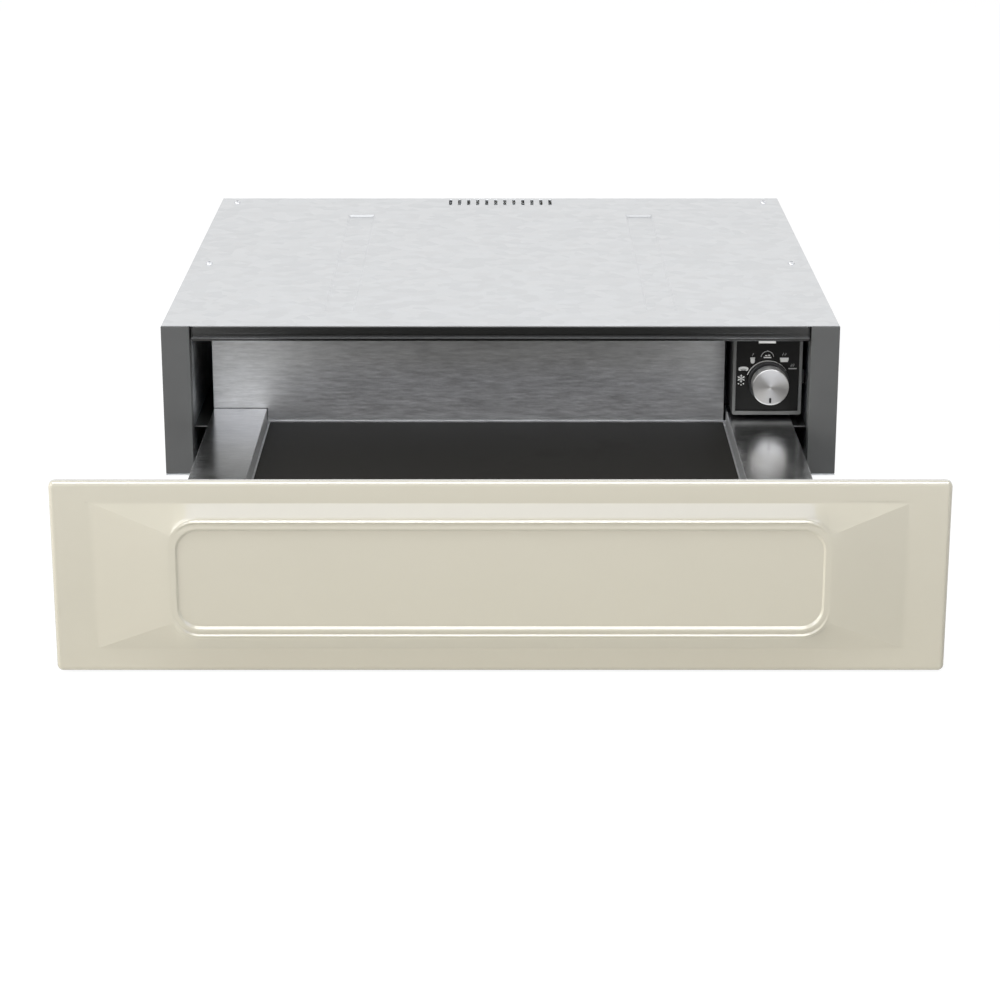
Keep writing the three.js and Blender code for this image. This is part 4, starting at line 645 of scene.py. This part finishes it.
print("panel, half its size in metres:", [round(half, 4) for half in PANEL_HALF])

# %% [markdown]
# The rings from the outside in: the turned edge with its rounding, the crease at the foot, the
# slope, and the bead. The bead's section was read from the lines of light on it: a narrow ridge
# along its outer edge, a shallow valley, a low crown and a steep wall down to the field. The ridge
# runs along the top and the bottom only, so on the two short sides the same rings lie lower.

# %% Pressed front: the rings
BORDER_SIDE, BORDER_HEIGHT = 28 * MM, 15.6 * MM
SLOPE_SIDE, SLOPE_RISE = 50 * MM, 9.3 * MM
PRESSING_LIFT = 0.8 * MM  # the raised frame sits above the middle of the panel
LIFT_REACH = 3 * MM  # so far outside the foot the border's grid is lifted with it
EDGE_ROUND = 3 * MM
PLAN_CORNER = 4 * MM
BEAD_CORNER, FIELD_CORNER = 19.5 * MM, 14 * MM
BEAD_SIDE, BEAD_LEVEL = 5.5 * MM, 7.4 * MM
FIELD_WALL = 1.5 * MM
CORNER_DIP = 0.11  # share of its rise that the long side's slope loses towards a corner
CREASE = 0.05  # share of the slope on each side of the foot line that the crease takes
BESIDE = 0.08  # a ring this share away on each side keeps the crease narrow
RIDGE_STEP = 4  # the ridge between two slopes meets the round crest this many steps from its side
SHOULDER = 1.05 * MM  # the ridge's own rise above the slope
foot = (PANEL_HALF[0] - BORDER_SIDE, PANEL_HALF[1] - BORDER_HEIGHT)
crest = (foot[0] - SLOPE_SIDE, foot[1] - SLOPE_RISE)

# Millimetres in from the slope's end, rise along the top and bottom, rise along the sides. Each
# straight flank has two points close to each end, so that its shading stays even between them.
BEAD_SECTION = [
    (0.35, 5.95, 5.97), (0.62, 5.95, 5.98), (0.70, 5.98, 5.985), (0.76, 6.04, 5.99),
    (1.54, 6.82, 6.00), (1.60, 6.88, 6.00), (1.72, 6.96, 6.00), (1.90, 7.00, 6.00),
    (2.08, 6.96, 6.00), (2.20, 6.88, 6.00), (2.26, 6.82, 6.00), (3.04, 6.04, 6.00),
    (3.10, 5.98, 6.00), (3.20, 5.95, 6.00), (3.60, 5.97, 6.00), (4.20, 6.20, 6.00),
    (4.90, 6.50, 6.00), (5.60, 6.62, 6.00), (6.20, 6.60, 6.00), (6.60, 6.54, 6.00),
    (6.78, 6.48, 5.98), (6.85, 6.42, 5.95), (6.91, 6.365, 5.91), (8.29, 5.105, 5.09),
    (8.35, 5.05, 5.05), (8.45, 5.01, 5.01), (8.90, 5.00, 5.00), (9.60, 5.00, 5.00),
]


def edge_rings():
    """The turned edge and the rounding to the flat border."""
    rings = [inset(PANEL_HALF, 0, PLAN_CORNER, skin_high.y)]
    for step in range(9):
        angle = radians(90) * step / 8
        by = EDGE_ROUND * (1 - cos(angle))
        rings.append(inset(PANEL_HALF, by, PLAN_CORNER, BORDER_Y + EDGE_ROUND * (1 - sin(angle))))
    return rings + [inset(PANEL_HALF, EDGE_ROUND + 0.5 * MM, PLAN_CORNER, BORDER_Y)]


def foot_point(column):
    """Where the slope's line that ends at this column of the crest starts: beside it, above or
    below it, or in the corner of the foot for the ridge between the two slopes."""
    corner, step = divmod(column, CORNER_STEPS + 1)
    from_side = step if corner % 2 == 0 else CORNER_STEPS - step
    x, z, _ = rim_point(column, crest, BEAD_CORNER)
    foot_x = foot[0] * (1 if x > 0 else -1)
    foot_z = foot[1] * (1 if z > 0 else -1)
    return x if from_side > RIDGE_STEP else foot_x, z if from_side < RIDGE_STEP else foot_z


def corner_rise(column):
    """How much of the slope's full rise is left where the long side's slope turns flatter."""
    corner, step = divmod(column, CORNER_STEPS + 1)
    from_side = step if corner % 2 == 0 else CORNER_STEPS - step
    return 1 - CORNER_DIP * sin(pi * max(from_side - RIDGE_STEP, 0) / (CORNER_STEPS - RIDGE_STEP))


def slope_ring(share, rise):
    """A ring between the square foot (share 0) and the round crest (share 1)."""
    def place(column):
        foot_x, foot_z = foot_point(column)
        x, z, _ = rim_point(column, crest, BEAD_CORNER)
        y = BORDER_Y - rise * corner_rise(column)
        return foot_x + (x - foot_x) * share, y, foot_z + (z - foot_z) * share
    return place


def slope_rings():
    """The slope with a narrow crease at its foot."""
    full = CREST - SHOULDER
    rings = [slope_ring(-BESIDE, 0.0)]
    for step in range(7):
        share = CREASE * (step / 3 - 1)
        rings.append(slope_ring(share, full * (share + CREASE) ** 2 / (4 * CREASE)))
    return rings + [slope_ring(share, full * share) for share in (BESIDE, 0.45, 0.84, 1)]


def bead_rings():
    rings = []
    for by, rise, rise_beside in BEAD_SECTION:
        across = by * BEAD_SIDE / BEAD_LEVEL * MM
        loss = (BEAD_CORNER - FIELD_CORNER) * by * MM / (BEAD_LEVEL + FIELD_WALL)
        half = crest[0] - across, crest[1] - by * MM
        y, y_beside = BORDER_Y - rise * MM, BORDER_Y - rise_beside * MM
        rings.append(ring(half, BEAD_CORNER - loss, y, y_beside))
    return rings


print("foot and crest, half their sizes:", [round(half, 4) for half in foot + crest])

# %% [markdown]
# With the rings in hand the sheet is quickly made. The four ridges between the slopes stay sharp,
# the field is closed with one flat face, and the Solidify modifier gives the sheet its thickness.

# %% Pressed front: the piece
outer, slopes, inner = edge_rings(), slope_rings(), bead_rings()
ridges = [corner * (CORNER_STEPS + 1) + RIDGE_STEP for corner in (0, 2)]
ridges += [corner * (CORNER_STEPS + 1) + CORNER_STEPS - RIDGE_STEP for corner in (1, 3)]
on_ridge = {(column, len(outer) + row) for column in ridges for row in range(4, len(slopes))}
bm = wrapped(outer + slopes + inner, PANEL_MIDDLE, creased=on_ridge)
pressed = [
    v for v in bm.verts
    if max(abs(v.co.x) - foot[0], abs(v.co.z - PANEL_MIDDLE) - foot[1]) < LIFT_REACH
]
bmesh.ops.translate(bm, verts=pressed, vec=(0, 0, PRESSING_LIFT))
rims = [edge for edge in bm.edges if edge.is_boundary]
field_rim = [edge for edge in rims if max(v.co.y for v in edge.verts) < BORDER_Y]
bmesh.ops.contextual_create(bm, geom=field_rim)
skin = {"stands_for": ["front_skin"], "smooth_below": 60}
front = piece("pressed_front", bm, "drawer", "cream_enamel", **skin)
thick = front.modifiers.new("sheet", "SOLIDIFY")
thick.thickness = 1 * MM
thick.offset = -1
print("pressed front:", len(front.data.polygons), "faces")

# %% [markdown]
# ## The knob
# The knob is two turned parts: a black skirt with a stem, and a spun aluminium cap over it. A
# turned part is a profile spun round its axis, so half of its section is drawn and spun in many
# steps.

# %% Knob
knob_low, knob_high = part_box("knob")
cap_low, cap_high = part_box("knob_cap")
FASCIA_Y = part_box("control_fascia")[0].y
KNOB_X = (cap_low.x + cap_high.x) / 2
KNOB_Z = (cap_low.z + cap_high.z) / 2


def turned(profile, steps=96):
    """Spins a profile of (radius, y) round the knob's axis."""
    bm = bmesh.new()
    chain = [bm.verts.new((KNOB_X + radius, y, KNOB_Z)) for radius, y in profile]
    edges = [bm.edges.new(pair) for pair in zip(chain, chain[1:])]
    bmesh.ops.spin(
        bm, geom=chain + edges, cent=(KNOB_X, 0, KNOB_Z), axis=(0, 1, 0),
        angle=2 * pi, steps=steps, use_merge=True,
    )
    bmesh.ops.remove_doubles(bm, verts=bm.verts, dist=1e-7)
    return bm


def rounded_corner(radius, y, size, steps=5):
    """Points of a round edge between a face at y and a wall at radius."""
    angles = [radians(90) * step / steps for step in range(steps + 1)]
    return [(radius - size + size * sin(a), y + size - size * cos(a)) for a in angles]


CAP_RADIUS = (cap_high.x - cap_low.x) / 2
CAP_WALL = 1.2 * MM
SKIRT_RADIUS = (knob_high.x - knob_low.x) / 2
cap_face = cap_low.y + 0.1 * MM  # the rim stands a hair in front of the face
cap_profile = [(0, cap_face + 0.15 * MM), (1.2 * MM, cap_face + 0.02 * MM), (2.4 * MM, cap_face)]
cap_profile += [(CAP_RADIUS - 1.6 * MM, cap_face), (CAP_RADIUS - 1.2 * MM, cap_low.y)]
cap_profile += rounded_corner(CAP_RADIUS, cap_low.y, 0.8 * MM)
cap_profile += [(CAP_RADIUS, cap_high.y), (CAP_RADIUS - CAP_WALL, cap_high.y)]
cap_profile += [(CAP_RADIUS - CAP_WALL, cap_face + CAP_WALL), (0, cap_face + CAP_WALL)]
cap = {"stands_for": ["knob_cap"], "smooth_below": 35}
piece("knob_cap_piece", turned(cap_profile), "knob", "spun_metal", **cap)

skirt_rear = FASCIA_Y - 0.5 * MM
skirt_front = skirt_rear - 4 * MM
STEM_RADIUS = 3 * MM
PLAY = 0.3 * MM  # between the skirt's core and the cap
core = CAP_RADIUS - CAP_WALL - PLAY
core_face = cap_face + CAP_WALL + PLAY
skirt_profile = [(0, core_face), (core, core_face), (core, skirt_front - 0.8 * MM)]
skirt_profile += [(core + 0.3 * MM, skirt_front - 0.2 * MM), (core + 0.9 * MM, skirt_front)]
skirt_profile += rounded_corner(SKIRT_RADIUS, skirt_front, 0.8 * MM)
skirt_profile += [(SKIRT_RADIUS, skirt_rear), (STEM_RADIUS, skirt_rear)]
skirt_profile += [(STEM_RADIUS, knob_high.y), (0, knob_high.y)]
skirt = {"stands_for": ["knob"], "smooth_below": 35}
piece("knob_skirt", turned(skirt_profile), "knob", "black_plastic", **skirt)
print("knob axis:", round(KNOB_X, 4), round(KNOB_Z, 4))

# %% [markdown]
# The pointer is a short black bar with round ends, let into the cap's face near its rim. Two discs
# and a rectangle overlap and are drawn out by a hair, which is all that can be seen of an inlay.

# %% Pointer
POINTER_MIDDLE = KNOB_Z - 11.1 * MM
POINTER_HALF, POINTER_LONG = 0.95 * MM, 2.3 * MM  # half its width, half its length
POINTER_Y = cap_face - 0.03 * MM
POINTER_HEIGHT = 0.05 * MM
STAND = Matrix.Rotation(pi / 2, 4, "X")  # a flat shape in x and y stands up in x and z
bm = bmesh.new()
for end in (-1, 1):
    middle = POINTER_MIDDLE + end * (POINTER_LONG - POINTER_HALF)
    where = Matrix.Translation((KNOB_X, POINTER_Y, middle)) @ STAND
    bmesh.ops.create_circle(bm, cap_ends=True, segments=24, radius=POINTER_HALF, matrix=where)
where = Matrix.Translation((KNOB_X, POINTER_Y, POINTER_MIDDLE)) @ STAND
stretch = Matrix.Diagonal((POINTER_HALF, POINTER_LONG - POINTER_HALF, 1, 1))
bmesh.ops.create_grid(bm, x_segments=1, y_segments=1, size=1, matrix=where @ stretch)
raised = bmesh.ops.extrude_face_region(bm, geom=bm.faces[:])
front_points = [v for v in raised["geom"] if isinstance(v, bmesh.types.BMVert)]
bmesh.ops.translate(bm, verts=front_points, vec=(0, -POINTER_HEIGHT, 0))
pointer = piece("knob_pointer", bm, "knob", "black_plastic", smooth_below=30)
print("pointer:", len(pointer.data.polygons), "faces")

# %% [markdown]
# ## Symbols on the fascia
# The signs round the knob are printed in light ink: a cold start, bread, a cup, a covered dish,
# plates and a flat plate, with a scale arc between them. Each is a thin raised shape made from
# discs, bars and arcs, so that it stays crisp at any distance.

# %% Printed shapes
INK = 0.06 * MM  # the thickness of the ink
LAYERS, LAYER = 8, 0.003 * MM  # overlapping strokes lie at different depths, so none flickers
layers = count()
ink_finish = finish("printed ink", (0.80, 0.80, 0.78), 0.5)
faint_ink_finish = finish("thin printed ink", (0.42, 0.42, 0.41), 0.5)
for ink in (ink_finish, faint_ink_finish):
    vary(ink, "Base Color", 0.06, effect(ink, speckle, Scale=2500).outputs["Grain"])


def at(x, z):
    """A place on the fascia, in millimetres from the knob's axis. Strokes lie in thin layers."""
    layer = next(layers) % LAYERS * LAYER
    return Matrix.Translation((KNOB_X + x * MM, FASCIA_Y - INK / 2 - layer, KNOB_Z + z * MM))


def disc(bm, x, z, width, height=None, segments=24):
    shape = Matrix.Diagonal((width / 2 * MM, (height or width) / 2 * MM, 1, 1))
    where = at(x, z) @ STAND @ shape
    bmesh.ops.create_circle(bm, cap_ends=True, segments=segments, radius=1, matrix=where)


def bar(bm, start, end, width):
    """A straight stroke with square ends."""
    (x0, z0), (x1, z1) = start, end
    tilt = Matrix.Rotation(-Vector((x1 - x0, z1 - z0)).angle_signed(Vector((1, 0))), 4, "Y")
    shape = Matrix.Diagonal((hypot(x1 - x0, z1 - z0) / 2 * MM, width / 2 * MM, 1, 1))
    where = at((x0 + x1) / 2, (z0 + z1) / 2) @ tilt @ STAND @ shape
    bmesh.ops.create_grid(bm, x_segments=1, y_segments=1, size=1, matrix=where)


def stroke_arc(bm, x, z, radius, start, end, width, steps=24):
    """An arc from start to end, in degrees counted from +x towards +z."""
    centre = at(x, z).to_translation()
    first = Vector((cos(radians(start)), 0, sin(radians(start))))
    ends = [bm.verts.new(centre + first * (radius + side * width / 2) * MM) for side in (-1, 1)]
    edge = bm.edges.new(ends)
    bmesh.ops.spin(
        bm, geom=ends + [edge], cent=centre, axis=(0, -1, 0),
        angle=radians(end - start), steps=steps,
    )


def steam(bm, x, z, size):
    """A small curl of steam: two half turns."""
    stroke_arc(bm, x, z + size * 0.25, size * 0.25, 90, 270, 0.3, 8)
    stroke_arc(bm, x, z + size * 0.75, size * 0.25, -90, 90, 0.3, 8)


def printed(name, draw, ink=ink_finish):
    bm = bmesh.new()
    draw(bm)
    for face in bm.faces:
        face.normal_update()
        if face.normal.y > 0:
            face.normal_flip()
    raised = bmesh.ops.extrude_face_region(bm, geom=bm.faces[:])
    top = [v for v in raised["geom"] if isinstance(v, bmesh.types.BMVert)]
    bmesh.ops.translate(bm, verts=top, vec=(0, -INK, 0))
    return piece(name, bm, "cabinet", "black_fascia", ink, smooth_below=20)


# %% [markdown]
# The drawings below are in millimetres, counted from the knob's axis. The covers, the flat plate
# and the steam are printed thinner on the real fascia, so they get the fainter ink.

# %% The signs
def draw_scale(bm):
    stroke_arc(bm, -0.66, -0.53, 17.8, 32, 161, 0.75, 48)


def draw_cold(bm):
    x, z = -22.6, 2.2
    for turn in range(6):
        angle = radians(60 * turn + 90)
        along = Vector((cos(angle), sin(angle)))
        root, knee, tip = (Vector((x, z)) + along * reach for reach in (0.3, 1.85, 3.3))
        bar(bm, root, tip, 0.55)
        for lean in (-50, 50):
            side = Vector((cos(angle + radians(lean)), sin(angle + radians(lean))))
            bar(bm, knee, knee + side * 1.1, 0.45)
    for x_dot, z_dot in ((-24.7, -2.3), (-20.6, -2.3), (-22.6, -3.3)):
        disc(bm, x_dot, z_dot, 1.1, segments=16)


def draw_bread(bm):
    disc(bm, -20.9, 10.9, 8.3, 3.0)
    disc(bm, -23.6, 10.2, 2.9, 2.9, segments=16)
    disc(bm, -18.2, 10.2, 2.9, 2.9, segments=16)


def draw_crust(bm):
    """The loaf's shaded front."""
    disc(bm, -20.9, 9.9, 5.2, 1.7)


def draw_cup(bm):
    bar(bm, (-15.4, 19.65), (-11.5, 19.65), 0.9)
    bar(bm, (-15.2, 17.95), (-11.7, 17.95), 1.9)
    disc(bm, -13.45, 17.0, 3.5, 4.0)


def draw_covered_dish(bm):
    bar(bm, (-4.4, 20.25), (2.0, 20.25), 1.1)
    disc(bm, -2.3, 21.9, 2.2, 1.0, segments=16)
    disc(bm, 0.1, 22.1, 2.0, 1.3, segments=16)


def draw_plates(bm):
    for z, half in ((19.5, 3.6), (18.2, 3.55), (16.9, 3.1)):
        bar(bm, (12.7 - half, z), (12.7 + half, z), 1.1)
    bar(bm, (9.9, 18.2), (15.5, 18.2), 3.2)


def draw_lines(bm):
    """The fainter parts: the dish's cover, the flat plate and the curls of steam."""
    stroke_arc(bm, -1.25, 20.3, 5.2, 4, 176, 0.6, 24)
    disc(bm, -1.25, 25.7, 1.5, 1.0, segments=16)
    bar(bm, (16.3, 10.75), (23.2, 10.75), 0.9)
    for x, z in ((-13.4, 21.5), (11.6, 21.8), (13.6, 21.8), (18.9, 12.4), (20.6, 12.4)):
        steam(bm, x, z, 2.2)


solid_signs = {
    "sign_scale": draw_scale, "sign_cold": draw_cold, "sign_bread": draw_bread,
    "sign_cup": draw_cup, "sign_covered_dish": draw_covered_dish, "sign_plates": draw_plates,
}
for name, draw in solid_signs.items():
    printed(name, draw)
printed("sign_lines", draw_lines, faint_ink_finish)
crust = printed("sign_crust", draw_crust, faint_ink_finish)
crust.data.transform(Matrix.Translation((0, -INK / 2, 0)))  # it lies on the loaf
print("signs:", len(solid_signs) + 2)

# %% [markdown]
# ## Rubber: the gasket and the mat
# The gasket is a hollow rubber tube held round the inner pan of the front, so its section is round,
# not square. The mat is a soft sheet that lies in the tray, with a rolled edge. Both are the same
# wrapped grid as the front, with other rings.

# %% Gasket and mat
gasket_low, gasket_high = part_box("front_gasket")
gasket_half = ((gasket_high.x - gasket_low.x) / 2, (gasket_high.z - gasket_low.z) / 2)
gasket_middle = (gasket_high.z + gasket_low.z) / 2
GASKET_WIDTH = 5.5 * MM
GASKET_CORNER = 10 * MM
GASKET_STEPS = 16
FREE_SIDE, HELD_SIDE = 0.82, -0.8  # its free side is narrower, the side on the pan is flat
gasket_deep = gasket_high.y - gasket_low.y
rings = []
for step in range(GASKET_STEPS):
    angle = 2 * pi * step / GASKET_STEPS
    across = GASKET_WIDTH / 2 * (1 + cos(angle) * (FREE_SIDE if sin(angle) > 0.3 else 1))
    y = (gasket_low.y + gasket_high.y) / 2 + gasket_deep / 2 * max(HELD_SIDE, sin(angle))
    rings.append(inset(gasket_half, across, GASKET_CORNER, y))
tube = wrapped(rings, gasket_middle, closed=True)
piece("gasket_tube", tube, "drawer", "gasket_rubber", stands_for=["front_gasket"], smooth_below=60)

MAT_STRETCH = 9 * MM  # soft as it is, the mat is pushed up to the back wall
mat_low, mat_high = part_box("mat")
mat_high.y += MAT_STRETCH
mat_half = ((mat_high.x - mat_low.x) / 2, (mat_high.y - mat_low.y) / 2)
MAT_CORNER = 6 * MM
MAT_UNDER, MAT_OVER = 0.8 * MM, 1.6 * MM  # where the flat underside and top begin
MAT_ROLL = 0.7  # how far the rolled edge reaches in, as a share of a half circle
mat_thick = mat_high.z - mat_low.z
rings = [inset(mat_half, MAT_UNDER, MAT_CORNER, 0)]
for step in range(7):
    angle = pi * step / 6
    by = mat_thick / 2 * (1 - sin(angle)) * MAT_ROLL
    rings.append(inset(mat_half, by, MAT_CORNER, mat_thick / 2 * (1 - cos(angle))))
rings.append(inset(mat_half, MAT_OVER, MAT_CORNER, mat_thick))
bm = wrapped(rings, 0)
for level in (0, mat_thick):
    rim = [e for e in bm.edges if e.is_boundary and abs(e.verts[0].co.y - level) < 1e-6]
    bmesh.ops.contextual_create(bm, geom=rim)
mat_middle = (mat_low + mat_high) / 2
lay = Matrix((  # the grid stands in x and z, and the mat lies in x and y
    (1, 0, 0, mat_middle.x), (0, 0, 1, mat_middle.y), (0, 1, 0, mat_low.z), (0, 0, 0, 1),
))
bmesh.ops.transform(bm, matrix=lay, verts=bm.verts)
piece("mat_piece", bm, "drawer", "silicone_mat", stands_for=["mat"], smooth_below=60)
print("mat, thickness in metres:", round(mat_thick, 4))

# %% [markdown]
# ## Screws
# The sheets of the casing are held with small screws from outside. A low round head with a
# hexagonal socket is enough: twelve steps round keep it light, and every other point of the
# socket is drawn in, which turns its circle into a hexagon.

# %% Screws of the casing
HEAD_RADIUS, HEAD_HEIGHT = 3.2 * MM, 1.4 * MM
SOCKET_RADIUS, SOCKET_DEPTH = 1.4 * MM, 0.9 * MM
HEAD_STEPS = 12
HEXAGON = cos(pi / 6)  # the middle of a hexagon's side is this near, where its corner is 1 away
TOP_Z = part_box("casing_top")[1].z
SIDE_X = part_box("casing_side_right")[1].x
REAR_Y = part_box("casing_rear")[1].y


def screw(bm, place, outward):
    """A screw head on a face, at a place given in metres. outward points out of the sheet."""
    profile = [(0, HEAD_HEIGHT - SOCKET_DEPTH), (SOCKET_RADIUS, HEAD_HEIGHT - SOCKET_DEPTH)]
    profile += [(SOCKET_RADIUS, HEAD_HEIGHT), (HEAD_RADIUS * 0.75, HEAD_HEIGHT)]
    profile += [(HEAD_RADIUS * 0.95, HEAD_HEIGHT * 0.7), (HEAD_RADIUS, 0)]
    known = set(bm.verts)
    chain = [bm.verts.new((radius, 0, height)) for radius, height in profile]
    edges = [bm.edges.new(pair) for pair in zip(chain, chain[1:])]
    bmesh.ops.spin(
        bm, geom=chain + edges, cent=(0, 0, 0), axis=(0, 0, 1),
        angle=2 * pi, steps=HEAD_STEPS, use_merge=True,
    )
    drawn = [v for v in bm.verts if v not in known]
    for vertex in drawn:
        on_socket = abs(hypot(vertex.co.x, vertex.co.y) - SOCKET_RADIUS) < 1e-6
        step = round(atan2(vertex.co.y, vertex.co.x) * HEAD_STEPS / (2 * pi))
        if on_socket and step % 2:
            vertex.co.x *= HEXAGON
            vertex.co.y *= HEXAGON
    turn = Vector((0, 0, 1)).rotation_difference(Vector(outward)).to_matrix().to_4x4()
    bmesh.ops.transform(bm, matrix=Matrix.Translation(place) @ turn, verts=drawn)


# Places in millimetres: top (x, y), side (y, z) and rear (x, z). Those off the middle are doubled.
SCREWS_TOP = [(262, -30), (262, 244)]
SCREWS_SIDE = [(-228, 18), (-228, 108), (248, 18), (248, 108)]
SCREWS_REAR = [(262, 16), (262, 108)]
SCREWS_REAR_MIDDLE = [(0, 12), (0, 116)]
bm = bmesh.new()
for side in (-1, 1):
    for x, y in SCREWS_TOP:
        screw(bm, (side * x * MM, y * MM, TOP_Z), (0, 0, 1))
    for y, z in SCREWS_SIDE:
        screw(bm, (side * SIDE_X, y * MM, z * MM), (side, 0, 0))
    for x, z in SCREWS_REAR:
        screw(bm, (side * x * MM, REAR_Y, z * MM), (0, 1, 0))
for x, z in SCREWS_REAR_MIDDLE:
    screw(bm, (x * MM, REAR_Y, z * MM), (0, 1, 0))
screws = piece("casing_screws", bm, "cabinet", "runner_steel")
print("screws:", len(screws.data.polygons), "faces")
